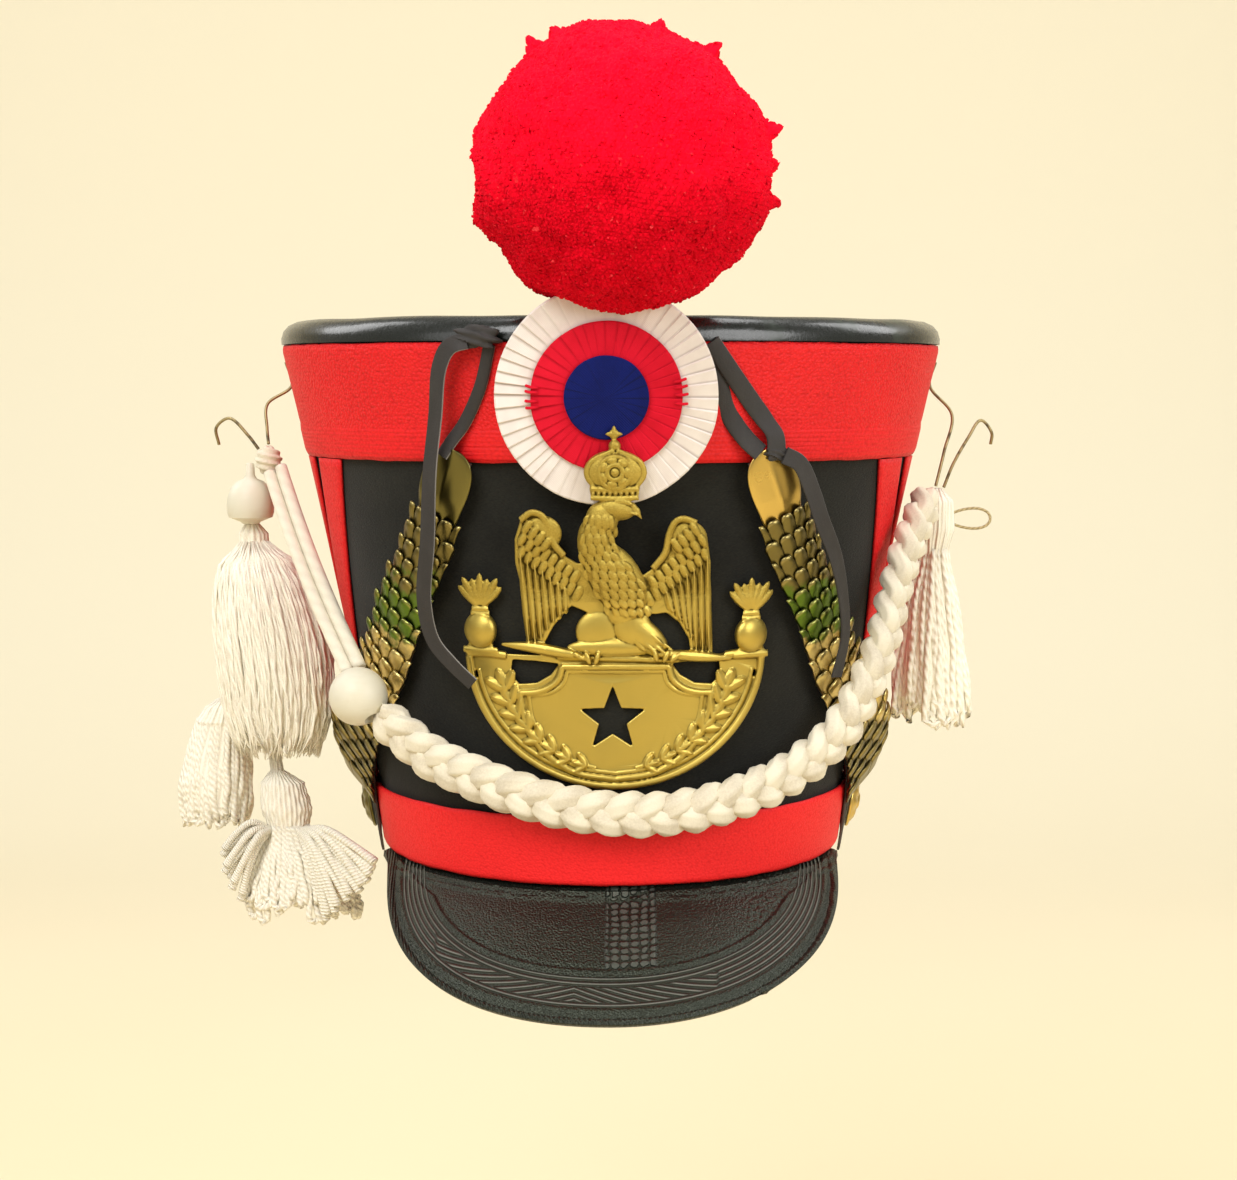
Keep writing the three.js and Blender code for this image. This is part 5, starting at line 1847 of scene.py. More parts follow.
@dataclass
class ChinScales:
    """Brass scales on a leather strap, from the side boss up to a spoon-shaped tongue."""

    side: Side
    scales: Material
    brass: Material
    leather: Material
    route: Rows = (
        (88, 8), (80, 33), (66, 55), (52, 76), (43.5, 97), (36, 115.5), (30.5, 134), (25, 157),
    )
    flat_radius: float = 104.0
    strap_out: float = 3.9
    strap_width: Rows = ((0.0, 30.0), (0.68, 20.0), (0.76, 13.0), (1.0, 11.0))
    strap_end: float = 7.0
    count: int = 9
    start: float = 19.0
    pitch: float = 14.0
    overlap: float = 3.6
    scale_out: float = 4.3
    rise: float = 0.115
    camber: float = 1.6
    scale_width: Pair = (36.0, 21.0)
    notch: float = 2.7
    lobes: int = 4
    flare: float = 8.5
    sheet: float = 0.7
    tongue_length: float = 42.0
    tongue_bare: float = 28.0
    tongue_width: float = 17.5
    boss_at: float = 8.0
    boss_profile: Rows = (
        (0, 0), (10.3, 0), (10.5, 0.5), (10.1, 1.1), (9.0, 1.2), (8.4, 1.7), (6.5, 2.7), (4.6, 3.2),
        (3.6, 3.0), (3.2, 3.6), (2.2, 4.1), (0, 4.2),
    )
    curve: Route = field(init=False)

    def __post_init__(self) -> None:
        """Lay the strap's middle line on the unrolled crown."""
        self.curve = Route([Vector((radians(b) * self.flat_radius, z, 0.0)) for b, z in self.route])

    def point(self, along: float, across: float, out: float) -> Vector:
        """A place on the crown from lengths along and across the strap.

        Args:
            along: Length from the strap's foot.
            across: Length from its middle line.
            out: Distance off the felt.

        Returns:
            The place.
        """
        share = min(1.0, max(0.0, along / self.curve.length))
        at, ahead = self.curve.at(share), self.curve.ahead(share)
        past = along - share * self.curve.length
        bearing = (at.x + ahead.x * past - ahead.y * across) / self.flat_radius
        return CROWN.point(self.side.value * bearing, at.y + ahead.y * past + ahead.x * across, out)

    def build(self) -> None:
        """Build and dress the strap, boss, scales and tongue."""
        self._strap()
        self._boss()
        for index in range(self.count):
            self._scale(index)
        self._tongue()

    def _strap(self) -> None:
        """Build the leather strap behind the scales."""
        mould = Mould()

        def place(u: float, v: float) -> Vector:
            """A place on the strap's outside.

            Args:
                u: Share of the way along.
                v: Share of the way across.

            Returns:
                The place.
            """
            width = table(self.strap_width, u)
            round_ = 0.35 * max(bell(v, 0, 0.06), bell(v, 1, 0.06))
            along = blend(-5.0, self.curve.length - self.strap_end, u)
            return self.point(along, (v - 0.5) * width, self.strap_out - round_)

        mould.sheet(60, 14, place)
        mould.face_out()
        node = f"chin_strap_{self.side.word}"
        mould.piece(node + "_leather", self.leather, "strap_leather", [node], wall=0.9)

    def _row(self, mould: Mould, start: float, length: float, width: float, shift: float) -> None:
        """Add one row of rounded lobes that rise over the row before.

        Args:
            mould: The mesh to add to.
            start: Where the row begins along the strap.
            length: How long its lobes are.
            width: How wide the row is.
            shift: How far its lobes are set aside, as a share of the width.
        """

        def place(u: float, v: float) -> Vector:
            """A place on the row's outside.

            Args:
                u: Share of the way along.
                v: Share of the way across.

            Returns:
                The place.
            """
            lobe = abs(sin(self.lobes * pi * (v + shift)))
            round_ = sqrt(max(0.0, 1 - (1 - lobe) ** 2))
            along = u * (length - self.notch * (1 - round_))
            across = (v - 0.5) * width * blend(0.9, 1.0, u)
            out = self.scale_out + self.rise * along + self.camber * (1 - (2 * v - 1) ** 2)
            out += 0.9 * lobe * ease(0.2, 0.8, u) - 0.7 * ease(0.86, 1.0, u)
            out += self.flare * (1 - ease(30, 78, start + along)) * (1 - ease(0.0, 0.9, v))
            return self.point(start + along, across, out)

        part = Mould()
        part.sheet(12, 48, place)
        part.face_out()
        part.map_uv(lambda loop: loop[part.uv].uv + Vector((0.0, shift)))
        mould.absorb(part)

    def _scale(self, index: int) -> None:
        """Build one scale with its two rows of rounded lobes.

        Args:
            index: The scale's number, from 0 at the foot.
        """
        mould = Mould()
        width = blend(*self.scale_width, index / (self.count - 1))
        step = self.pitch / 2
        for row in range(2):
            start = self.start + index * self.pitch + row * step
            self._row(mould, start, step + self.overlap, width, row / 2 / self.lobes)
        node = f"chin_scale_{self.side.word}_{index + 1}"
        mould.piece(node + "_brass", self.scales, "brass", [node], wall=self.sheet, sharp=60)

    def _tongue(self) -> None:
        """Build the smooth spoon-shaped tongue at the strap's top, on the last rows of lobes."""
        mould = Mould()
        start = self.start + self.count * self.pitch
        bare = start + self.tongue_length - self.tongue_bare

        def place(u: float, v: float) -> Vector:
            """A place on the tongue's outside.

            Args:
                u: Share of the way along.
                v: Share of the way across.

            Returns:
                The place.
            """
            belly = blend(0.8, 1.0, sin(pi * 0.8 * u))
            tip = sqrt(max(0.0, 1 - 0.97 * u**6))
            across = (v - 0.5) * self.tongue_width * belly * tip
            crease = 0.9 * (1 - abs(2 * v - 1) ** 1.3)
            crease += 0.25 * bell(v, 0.5, 0.05) * (1 - ease(0.6, 0.9, u))
            edge = 0.25 * max(bell(v, 0, 0.05), bell(v, 1, 0.05))
            lift = blend(0.2, 1.9, ease(0.0, 0.4, u))
            return self.point(bare + u * self.tongue_bare, across, self.scale_out + lift + crease - edge)

        mould.sheet(44, 24, place)
        mould.face_out()
        rows = Mould()
        step = self.pitch / 2
        for row in range(2):
            width = self.scale_width[1] - row
            self._row(rows, start + row * step, step + self.overlap, width, row / 2 / self.lobes)
        for face in rows.bm.faces:
            face.material_index = 1
        mould.absorb(rows)
        node = f"chin_tongue_{self.side.word}"
        tongue = mould.piece(node + "_brass", self.brass, "brass", [node], wall=0.8, sharp=60)
        tongue.data.materials.append(self.scales)

    def _boss(self) -> None:
        """Build the round boss with its petals and middle stud."""
        mould = Mould()
        mould.spin(self.boss_profile, 72)

        def petal(at: Vector) -> Vector:
            """Press eight petals into the dome.

            Args:
                at: The place on the plain dome.

            Returns:
                The pressed place.
            """
            away = hypot(at.x, at.y)
            wave = cos(8 * atan2(at.y, at.x))
            return at + Vector((0, 0, 0.35 * wave * bell(away, 6.4, 1.6))) if at.z > 0.2 else at

        mould.reshape(petal)
        seat = self.point(self.boss_at, 0, self.scale_out)
        along = self.point(self.boss_at + 1, 0, self.scale_out) - seat
        aside = self.point(self.boss_at, 1, self.scale_out) - seat
        outward = along.cross(aside) * self.side.value
        turn = outward.to_track_quat("Z", "Y").to_matrix().to_4x4()
        mould.move(Matrix.Translation(seat) @ turn)
        node = f"chin_boss_{self.side.word}"
        mould.piece(node + "_brass", self.brass, "brass", [node], sharp=60)


# Leather ties


@dataclass
class Ties:
    """The leather laces that hold the scales up, with a knot and a hanging end on each side."""

    widths: dict[Side, float] = field(default_factory=lambda: {Side.LEFT: 4.6, Side.RIGHT: 6.7})
    tail_width: float = 5.8
    thick: float = 1.2
    stays: dict[Side, tuple[Rows, ...]] = field(default_factory=lambda: {
        Side.LEFT: (
            ((-28.0, 151.4, 7.6), (-26.6, 156, 5.6), (-24.2, 162.5, 3.6), (-20.8, 175, 3.1),
             (-18.6, 189, 3.1)),
        ),
        Side.RIGHT: (
            ((27.6, 152.5, 8.2), (27.2, 158.5, 7), (25.8, 163.5, 4.2), (23.6, 169, 3.1), (19.6, 179, 3.1),
             (15.6, 190, 3.1)),
            ((25.0, 152.6, 6.6), (22.8, 157, 4.4), (20.0, 165, 1.8), (17.6, 176, 1.7), (15.4, 188, 1.7)),
        ),
    })
    knots: dict[Side, Row] = field(default_factory=lambda: {
        Side.LEFT: (-20.2, 191.5, 4.9, 9.0, 2.4, 4.2),
        Side.RIGHT: (27.6, 152.2, 7.6, 4.4, 1.6, 2.8),
    })
    tails: dict[Side, Rows] = field(default_factory=lambda: {
        Side.LEFT: ((-21.6, 190.4, 6.6), (-24.4, 188.2, 7.4), (-26.2, 181.6, 8.2), (-27.6, 165, 9.6),
                    (-29.2, 146, 12), (-30.9, 122, 13.4), (-33.3, 101, 13), (-33, 87, 11.5),
                    (-29.8, 78.5, 10), (-26.4, 72, 8.5)),
        Side.RIGHT: ((28.8, 151.6, 9.2), (31.6, 148.6, 10), (34.2, 139.5, 11.5), (36.6, 129, 13),
                     (40.4, 116.4, 13.8), (43.7, 102.4, 14), (46.2, 87, 14), (46.1, 72, 13.2)),
    })
    leather: Material = field(init=False)

    def build(self) -> None:
        """Build and dress both laces."""
        self.leather = StrapLeather("tie_leather", (0.028, 0.025, 0.023), (0.25, 0.24, 0.225)).material()
        for side in Side:
            self._tie(side)
            self._tail(side)

    def _ribbon(self, mould: Mould, route: Route, steps: int, width: float, twist: float = 0.0) -> None:
        """Lay a flat lace with rounded edges along a route.

        Args:
            mould: The mesh to add to.
            route: The line to follow.
            steps: Faces along it.
            width: The lace's width.
            twist: The angle by which it turns to and fro.
        """

        def place(u: float, v: float) -> Vector:
            """A place on the lace's skin, once round its section.

            Args:
                u: Share of the way along.
                v: Share of the way round.

            Returns:
                The place.
            """
            at, ahead = route.at(u), route.ahead(u)
            bearing = atan2(at.x, -at.y)
            across = Vector((cos(bearing), sin(bearing), 0.0))
            across = (across - ahead * across.dot(ahead)).normalized()
            face = ahead.cross(across)
            turn = twist * sin(u * pi * 2)
            wide, high = across * cos(turn) + face * sin(turn), face * cos(turn) - across * sin(turn)
            angle = v * tau
            flat = copysign(abs(cos(angle)) ** 0.45, cos(angle))
            deep = copysign(abs(sin(angle)) ** 0.6, sin(angle))
            cup = 0.35 * (flat * flat - 0.5)
            half = width / 2 * blend(1.06, 0.92, u)
            return at + wide * (flat * half) + high * (deep * self.thick / 2 + cup)

        mould.sleeve(steps, 20, place)

    def _tie(self, side: Side) -> None:
        """Build the stay and the crumpled knot of one side.

        Args:
            side: The side that it is on.
        """
        mould = Mould()
        for stay in self.stays[side]:
            self._ribbon(mould, Route([CROWN.row(row) for row in stay]), 40, self.widths[side])
        bearing, z, out, half_x, half_y, half_z = self.knots[side]
        seat = CROWN.row((bearing, z, out))
        place = Matrix.Translation(seat) @ Matrix.Rotation(radians(bearing), 4, "Z")
        made = bmesh.ops.create_uvsphere(mould.bm, u_segments=40, v_segments=24, radius=1.0)
        for vert in made["verts"]:
            way = vert.co.copy()
            fold = 1 + 0.17 * sin(way.z * 9 + way.x * 5 + 2 * rough(way, 0.8)) + 0.16 * rough(way, 0.4, 4.0)
            half = Vector((half_x * 0.92, half_y, half_z * 0.92)) * fold
            vert.co = place @ (way * half)
            for loop in vert.link_loops:
                loop[mould.uv].uv = (0.0, 0.5)
        mould.turn_out()
        node = f"tie_{side.word}"
        mould.piece(node + "_lace", self.leather, "tie_leather", [node])

    def _tail(self, side: Side) -> None:
        """Args:
            side: The side that it is on.
        """
        mould = Mould()
        route = Route([CROWN.row(row) for row in self.tails[side]])
        self._ribbon(mould, route, 90, self.tail_width, twist=0.18)
        mould.turn_out()
        node = f"tie_tail_{side.word}"
        lace = mould.piece(node + "_lace", self.leather, "tie_leather", [node])
        path = [route.at(i / 60) * MM for i in range(61)]
        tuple(path[0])


# White cord


@dataclass
class WhiteCord:
    """The plaited front cord, its bead, the twin plain cords and the knot at the left hook."""

    plait_route: Rows = (
        (-45.6, 52.6, 12.6), (-38, 45, 11), (-32.6, 41, 9.8), (-21.7, 35.2, 9.4), (-11.6, 30.8, 9.4),
        (0, 27.8, 9.4), (11.8, 27.4, 9.4), (22, 29.8, 9.4), (33.1, 35, 10), (42.9, 43.4, 12.5),
        (49.3, 53.7, 15), (53.4, 65.8, 16), (58, 79.4, 15.4), (63.3, 96.9, 12.6), (67.6, 111, 11),
        (73.3, 124, 10.6), (79.5, 133, 11.5),
    )
    plait_width: float = 15.0
    plait_period: float = 29.5
    swing: Pair = (3.9, 2.1)
    strand: Pair = (4.1, 3.5)
    bead: Row = (-50.6, 64.6, 19.4)
    bead_radius: float = 10.5
    bead_bore: float = 2.6
    gap: float = 0.3
    plain_route: Rows = (
        (-54.5, 77.6, 14), (-59, 91, 10.5), (-67, 110, 8.6), (-77, 130, 10), (-82.5, 141, 12.6),
    )
    plain_diameter: float = 4.7
    plain_apart: float = 4.9
    sag: float = 1.6
    knot: Row = (-130.6, -12.0, 146.6)
    knot_half: Row = (5.2, 5.2, 5.6)

    def build(self) -> None:
        """Build and dress the cords, bead and knot."""
        bead = self._bead()
        knot = self._knot()
        self._plait()
        self._plain_cords()

    def _meet(self, middle: Vector, radius: float, towards: Vector) -> Vector:
        """Where a cord that comes from a place ends just outside a round piece."""
        return middle + (towards - middle).normalized() * (radius + self.gap)

    def _bead(self) -> Object:
        """Build the slide bead, a turned ball with a bored end.

        Returns:
            The bead.
        """
        wood = PaintedWood().material()
        mould = Mould()
        radius, bore = self.bead_radius, self.bead_bore
        turns = [radians(a) for a in range(-74, 75, 4)]
        profile = [(bore, -radius * 0.86), (bore + 0.5, -radius * 0.955)]
        profile += [(radius * cos(a), radius * sin(a)) for a in turns]
        profile += [(bore + 0.5, radius * 0.955), (bore, radius * 0.86), (bore, -radius * 0.86)]
        mould.spin(profile, 48)
        seat = CROWN.row(self.bead)
        ahead = (CROWN.row(self.plait_route[1]) - CROWN.row(self.plain_route[1])).normalized()
        turn = ahead.to_track_quat("Z", "Y").to_matrix().to_4x4()
        mould.move(Matrix.Translation(seat) @ turn)
        return mould.piece("slide_bead_ball", wood, "bead", ["slide_bead"], sharp=40)

    def _knot(self) -> Object:
        """Build the wound knot where the twin cords hang from the hook.

        Returns:
            The knot.
        """
        mould = Mould()
        made = bmesh.ops.create_uvsphere(mould.bm, u_segments=48, v_segments=32, radius=1.0)
        for vert in made["verts"]:
            way = vert.co.copy()
            wind = 1 + 0.09 * sin(way.z * 13 + atan2(way.y, way.x) * 2)
            vert.co = Vector(self.knot) + Vector([way[k] * self.knot_half[k] * wind * 0.95 for k in range(3)])
        cotton = Yarn("knot_cotton", 1.0, 2.0).material()
        return mould.piece("cord_knot_left_wound", cotton, "white_cotton", ["cord_knot_left"])

    def _plait(self) -> None:
        points = [CROWN.row(row) for row in self.plait_route]
        points[0] = self._meet(CROWN.row(self.bead), self.bead_radius, points[1])
        route = Route(points)
        steps = int(route.length / 1.15)
        mould = Mould()
        for strand in range(3):
            self._strand(mould, route, strand, steps)
        mould.turn_out()
        cotton = Yarn("plait_cotton", 26.0, 1.0, depth=0.0003).material()
        plait = mould.piece("braid_front_plait", cotton, "white_cotton", ["braid_front"], sharp=180)
        path = [route.at(i / 120) * MM for i in range(121)]
        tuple(path[0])

    def _strand(self, mould: Mould, route: Route, index: int, steps: int) -> None:
        """Sweep one strand of the plait, a soft tube with shallow folds.

        Args:
            mould: The mesh to add to.
            route: The plait's middle line.
            index: The strand's number.
            steps: Faces along it.
        """

        def middle(u: float) -> tuple[Vector, Vector, Vector]:
            """Middle line, across and outward directions of the plait.

            Args:
                u: Share of the way along.

            Returns:
                The place and the two directions.
            """
            at, ahead = route.at(u), route.ahead(u)
            face = Vector((at.x, at.y, 0.0)).normalized()
            face = (face - ahead * face.dot(ahead)).normalized()
            return at, ahead.cross(face), face

        def line(u: float) -> Vector:
            """The strand's own middle line.

            Args:
                u: Share of the way along.

            Returns:
                The place.
            """
            at, across, face = middle(u)
            phase = u * route.length / self.plait_period * tau + index * tau / 3
            pinch = 1 - 0.35 * max(bell(u, 0.0, 0.015), bell(u, 1.0, 0.012))
            aside, out = sin(phase) * self.swing[0] * pinch, sin(2 * phase) * self.swing[1] * pinch
            return at + across * aside + face * out

        spots = [line(i / steps) for i in range(steps + 1)]

        def place(u: float, v: float) -> Vector:
            """A place on the strand's skin.

            Args:
                u: Share of the way along.
                v: Share of the way round.

            Returns:
                The place.
            """
            i = round(u * steps)
            ahead = (spots[min(steps, i + 1)] - spots[max(0, i - 1)]).normalized()
            across = middle(u)[1]
            wide = (across - ahead * across.dot(ahead)).normalized()
            high = ahead.cross(wide)
            angle = v * tau
            fold = 1 + 0.085 * cos(6 * angle + u * 90 + index) + 0.07 * rough(spots[i], 3.2, index)
            end = 1 - 0.3 * max(bell(u, 0.0, 0.01), bell(u, 1.0, 0.01))
            away = wide * cos(angle) * self.strand[0] + high * sin(angle) * self.strand[1]
            return spots[i] + away * (fold * end)

        mould.sleeve(steps, 22, place)

    def _plain_cords(self) -> None:
        points = [CROWN.row(row) for row in self.plain_route]
        points[0] = self._meet(CROWN.row(self.bead), self.bead_radius, points[1])
        points[-1] = self._meet(Vector(self.knot), self.knot_half[2], points[-2])
        points[1:-1] = [points[0].lerp(points[-1], k / 4) - Vector((self.sag * sin(k * pi / 4), 0, 0))
                        for k in (1, 2, 3)]
        aside = (points[-1] - points[0]).cross(Vector((0, 1, 0))).normalized()
        for name, shift in (("cord_left_front", 0.5), ("cord_left_rear", -0.5)):
            route = Route([p + aside * (shift * self.plain_apart) for p in points])
            mould = Mould()
            mould.tube(route, lambda u: self.plain_diameter / 2, 20, 60)
            mould.turn_out()
            cotton = Yarn(name + "_cotton", 14.0, 2.0, 0.00015, (0.76, 0.70, 0.56), (0.68, 0.62, 0.49))
            cord = mould.piece(name + "_twist", cotton.material(), "white_cotton", [name], sharp=180)
            path = [route.at(i / 40) * MM for i in range(41)]
            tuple(path[0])


class Fringe(Enum):
    """How the hanging yarn of a tassel is made."""

    YARN = "yarn"
    BULLION = "bullion"
    # Bullion yarn in the brighter colours: painted light.
    LIGHT_BULLION = "light bullion"


@dataclass
class Tassel:
    """A tassel: a bound head and a skirt of yarn that follows rows of middle x, radius and height."""

    node: str
    fringe: Fringe
    y: float
    flat: float
    rows: Rows
    skirt_from: int
    strands: int
    strand_radius: float
    ragged: float
    wave: float
    netted: bool = False
    fan: Rows = ()
    seed: int = 1
    mould: Mould = field(init=False, default_factory=Mould)
    chance: random.Random = field(init=False)

    def __post_init__(self) -> None:
        """Start the tassel's own run of self.chance."""
        self.chance = random.Random(self.seed)

    def _level(self, level: float) -> Row:
        """Middle x, radius and height between two rows.

        Args:
            level: The number of a row, or a place between rows.

        Returns:
            The three numbers.
        """
        low = min(len(self.rows) - 2, int(level))
        share = level - low
        return tuple(blend(a, b, share) for a, b in zip(self.rows[low], self.rows[low + 1]))

    def _skin(self, level: float, turn: float, inset: float = 0.0) -> Vector:
        """A place on the tassel's outer form.

        Args:
            level: The place between rows.
            turn: The angle round the tassel.
            inset: How far inside it lies.

        Returns:
            The place.
        """
        x, radius, z = self._level(level)
        radius = max(0.3, radius - inset)
        return Vector((x + radius * sin(turn), self.y - radius * cos(turn) * self.flat, z))

    def build(self, cotton: Material) -> None:
        """Build and dress the tassel.

        Args:
            cotton: The yarn's finish.
        """
        mould = self.mould
        last = len(self.rows) - 1

        def core(u: float, v: float) -> Vector:
            """A place on the form under the yarn.

            Args:
                u: Share of the way round.
                v: Share of the way down.

            Returns:
                The place.
            """
            level = v * (last - 0.25)
            deep = self.strand_radius * 0.9 if level > self.skirt_from else 0.0
            spot = self._skin(level, u * tau, deep)
            ridge = 0.0
            if level < self.skirt_from:
                waves = 10 if self.netted else 16
                ridge = 0.35 * sin(u * tau * waves) * (sin(level * 9) if self.netted else 1.0)
            return spot + Vector((sin(u * tau), -cos(u * tau), 0.0)) * ridge

        mould.sheet(72, 60, core, closed=True)
        mould.cap()
        for i in range(self.strands):
            turn = i * GOLDEN_TURN % tau
            if self.fringe is Fringe.YARN:
                self._lock(turn)
            else:
                self._loop(turn)
        for row in self.fan:
            self._stray(Vector(row[:3]), row[3])
        mould.turn_out()
        mould.piece(self.node + "_yarn", cotton, "white_cotton", [self.node], sharp=180)

    def _fall(self, turn: float, start: float, end: float, drop: float, inset: float) -> list[Vector]:
        """Points of one strand that falls down the skirt.

        Args:
            turn: The angle round the tassel.
            start: The level at its top.
            end: The level at its foot.
            drop: How much further its foot hangs.
            inset: How far inside it lies.

        Returns:
            The points.
        """
        lean = self.chance.uniform(-0.12, 0.12)
        points = []
        for k in range(7):
            share = k / 6
            level = blend(start, end, share)
            spot = self._skin(level, turn + lean * share, inset)
            sway = self.wave * share
            aside, deep = self.chance.uniform(-sway, sway), self.chance.uniform(-sway, sway) * 0.6
            points.append(spot + Vector((aside, deep, -drop * share * share)))
        return points

    def _lock(self, turn: float) -> None:
        """Add one hanging length of yarn.

        Args:
            turn: The angle round the tassel.
        """
        last = len(self.rows) - 1
        start = blend(self.skirt_from - 0.3, last - 1.2, self.chance.random() ** 2.2)
        drop = self.chance.uniform(-self.ragged, self.ragged * 0.7)
        inset = self.chance.uniform(-0.2, 1.6) * self.strand_radius
        route = Route(self._fall(turn, start, last - self.chance.random() * 0.15, drop, inset))
        thick = self.strand_radius * self.chance.uniform(0.75, 1.2)

        def radius(u: float) -> float:
            """The yarn's radius, thinner at both ends."""
            return thick * (1 - 0.75 * ease(0.86, 1.0, u)) * (0.5 + 0.5 * ease(0.0, 0.1, u))

        self.mould.tube(route, radius, 5, 9)

    def _stray(self, end: Vector, radius: float) -> None:
        """Add a loop that fans out from the top of the skirt to a place of its own.

        Args:
            end: Where the loop ends.
            radius: The yarn's radius.
        """
        root = self._skin(self.skirt_from, atan2(end.x - self.rows[-1][0], self.y - end.y))
        for way in (-1, 1):
            bow = Vector((self.chance.uniform(-1, 1), -4.0, 5.0 + self.chance.uniform(-1, 1)))
            aside = Vector((0.3, -0.4, 1.0)) * (radius * 1.05 * way)
            near, far = root.lerp(end, 0.35) + bow + aside, root.lerp(end, 0.75) + bow * 0.6 + aside
            route = Route([root, near, far, end + aside * 0.9])
            self.mould.tube(route, lambda u: radius * (1 + 0.25 * bell(u, 1.0, 0.12)), 7, 22)

    def _loop(self, turn: float) -> None:
        """Add one thick twisted loop that goes down and comes back up.

        Args:
            turn: The angle round the tassel.
        """
        last = len(self.rows) - 1
        drop = self.chance.uniform(-self.ragged, self.ragged * 0.7)
        inset = self.chance.uniform(0.2, 2.4) * self.strand_radius
        down = self._fall(turn, self.skirt_from - 0.2, last, drop, inset)
        gap = 2.1 * self.strand_radius / max(4.0, self.rows[-1][1])
        under = inset + self.strand_radius * 0.6
        up = self._fall(turn + gap, self.skirt_from - 0.1, last - 0.06, drop, under)
        end = (down[-1] + up[-1]) / 2 + Vector((0, 0, -self.strand_radius * 1.1))
        route = Route([*down, end, *reversed(up)])
        self.mould.tube(route, lambda u: self.strand_radius * (0.8 + 0.2 * sin(u * pi)), 6, 34)


@dataclass
class Trimmings:
    """The tassels, the bell-shaped bead, the wires and the loop of thread."""

    bell_at: Pair = (-137.7, -12.0)
    bell_rows: Rows = (
        (0.0, 145.6), (1.2, 145.6), (1.6, 145.0), (1.8, 141.0), (2.6, 139.6), (5.2, 138.6), (7.4, 136.2),
        (8.7, 132.6), (9.0, 129.6), (8.9, 126.6), (8.3, 124.9), (7.4, 124.6), (4.0, 123.2), (3.0, 122.4),
        (0.0, 122.4),
    )
    wire_radius: float = 0.6
    hanger_out: float = 3.0
    hanger_held: Pair = (184.0, 175.0)
    hangers: dict[Side, Rows] = field(default_factory=lambda: {
        Side.LEFT: ((-132, -3, 168), (-131.6, -8, 159), (-130.6, -11.6, 152.9)),
        Side.RIGHT: ((131.4, -2, 164), (128, -7, 150), (124.4, -10.8, 136.8)),
    })
    hooks: dict[Side, Rows] = field(default_factory=lambda: {
        Side.LEFT: ((-134.6, -10.6, 150.9), (-138.6, -9.6, 156), (-146, -8, 162.6), (-151.2, -7, 159),
                    (-150.4, -6, 152.4)),
        Side.RIGHT: ((127.4, -11, 136.2), (131, -10, 145), (136.9, -8, 155), (142, -6, 161.8),
                     (146.4, -5, 157), (146.2, -4, 152.6)),
    })
    thread: Row = (137.0, -11.0, 124.4, 8.4, 3.4, 0.6)

    def build(self) -> None:
        """Build and dress every trimming."""
        yarns = {
            Fringe.YARN: Yarn("tassel_cotton", 9.0, 2.0, 0.0003, *PALE).material(),
            Fringe.BULLION: Yarn("bullion_cotton", 30.0, 2.0, 0.0005, *PALE).material(),
            # The right tassel's brighter yarn: painted light.
            Fringe.LIGHT_BULLION: Yarn("bullion_cotton_painted_light", 30.0, 2.0, 0.0005, *PAINTED_LIGHT).material(),
        }
        for tassel in self.tassels():
            tassel.build(yarns[tassel.fringe])
        self._bell()
        wire = Wire().material()
        for side in Side:
            self._wires(side, wire)
        self._thread()

    @staticmethod
    def tassels() -> tuple[Tassel, ...]:
        """The four tassels, as they hang.

        Returns:
            The tassels.
        """
        return (
            Tassel("tassel_left_big", Fringe.YARN, -10, 0.74, (
                (-137.4, 2.4, 122.4), (-137, 5.4, 118.6), (-136.6, 5.2, 114.6), (-135.2, 15, 107),
                (-132.8, 20, 92), (-129.6, 21.8, 70), (-128.2, 20, 49), (-128.6, 14, 34),
            ), 2, 480, 0.75, 4.0, 2.2, seed=11),
            Tassel("tassel_left_side", Fringe.BULLION, 4, 0.8, (
                (-151.6, 2.2, 53), (-151.8, 7, 49.6), (-152.4, 10, 44), (-153.4, 13.2, 31),
                (-154.6, 14.4, 18), (-154.8, 12.8, 6.5),
            ), 2, 52, 1.3, 5.0, 1.2, seed=12),
            Tassel("tassel_left_low", Fringe.BULLION, -10, 0.72, (
                (-131, 2.4, 40.4), (-129, 2.4, 27), (-127, 8.4, 22), (-125.6, 10, 12), (-124.6, 7.6, 4),
                (-121, 17.5, -9), (-119.5, 23.5, -26),
            ), 4, 74, 1.3, 6.0, 1.2, netted=True, fan=(
                (-89, -38, -5, 1.5), (-91, -37, -10, 1.4), (-94, -36, -14, 1.5), (-99, -34, -18, 1.4),
                (-97, -33, -8, 1.4), (-104, -32, -23, 1.4), (-108, -28, -27, 1.3), (-106, -14, -30, 0.7),
                (-149, -16, -4, 1.4), (-148, -20, -10, 1.4), (-145, -22, -16, 1.4), (-147, -12, -14, 1.3),
                (-142, -20, -21, 1.3),
            ), seed=13),
            Tassel("tassel_right", Fringe.LIGHT_BULLION, -11, 0.85, (
                (124, 2.6, 136), (124, 7, 131), (124, 7.6, 120), (123.6, 5.6, 111), (123, 10, 96),
                (123, 13.4, 73), (123.6, 15.4, 49),
            ), 3, 56, 1.2, 5.0, 1.2, seed=14),
        )

    def _bell(self) -> None:
        """Build the bell-shaped bead over the big tassel."""
        mould = Mould()
        mould.spin(self.bell_rows, 48)
        mould.move(Matrix.Translation(Vector((*self.bell_at, 0.0))))
        mould.piece("bell_bead_turned", PaintedWood().material(), "bead", ["bell_bead"], sharp=40)

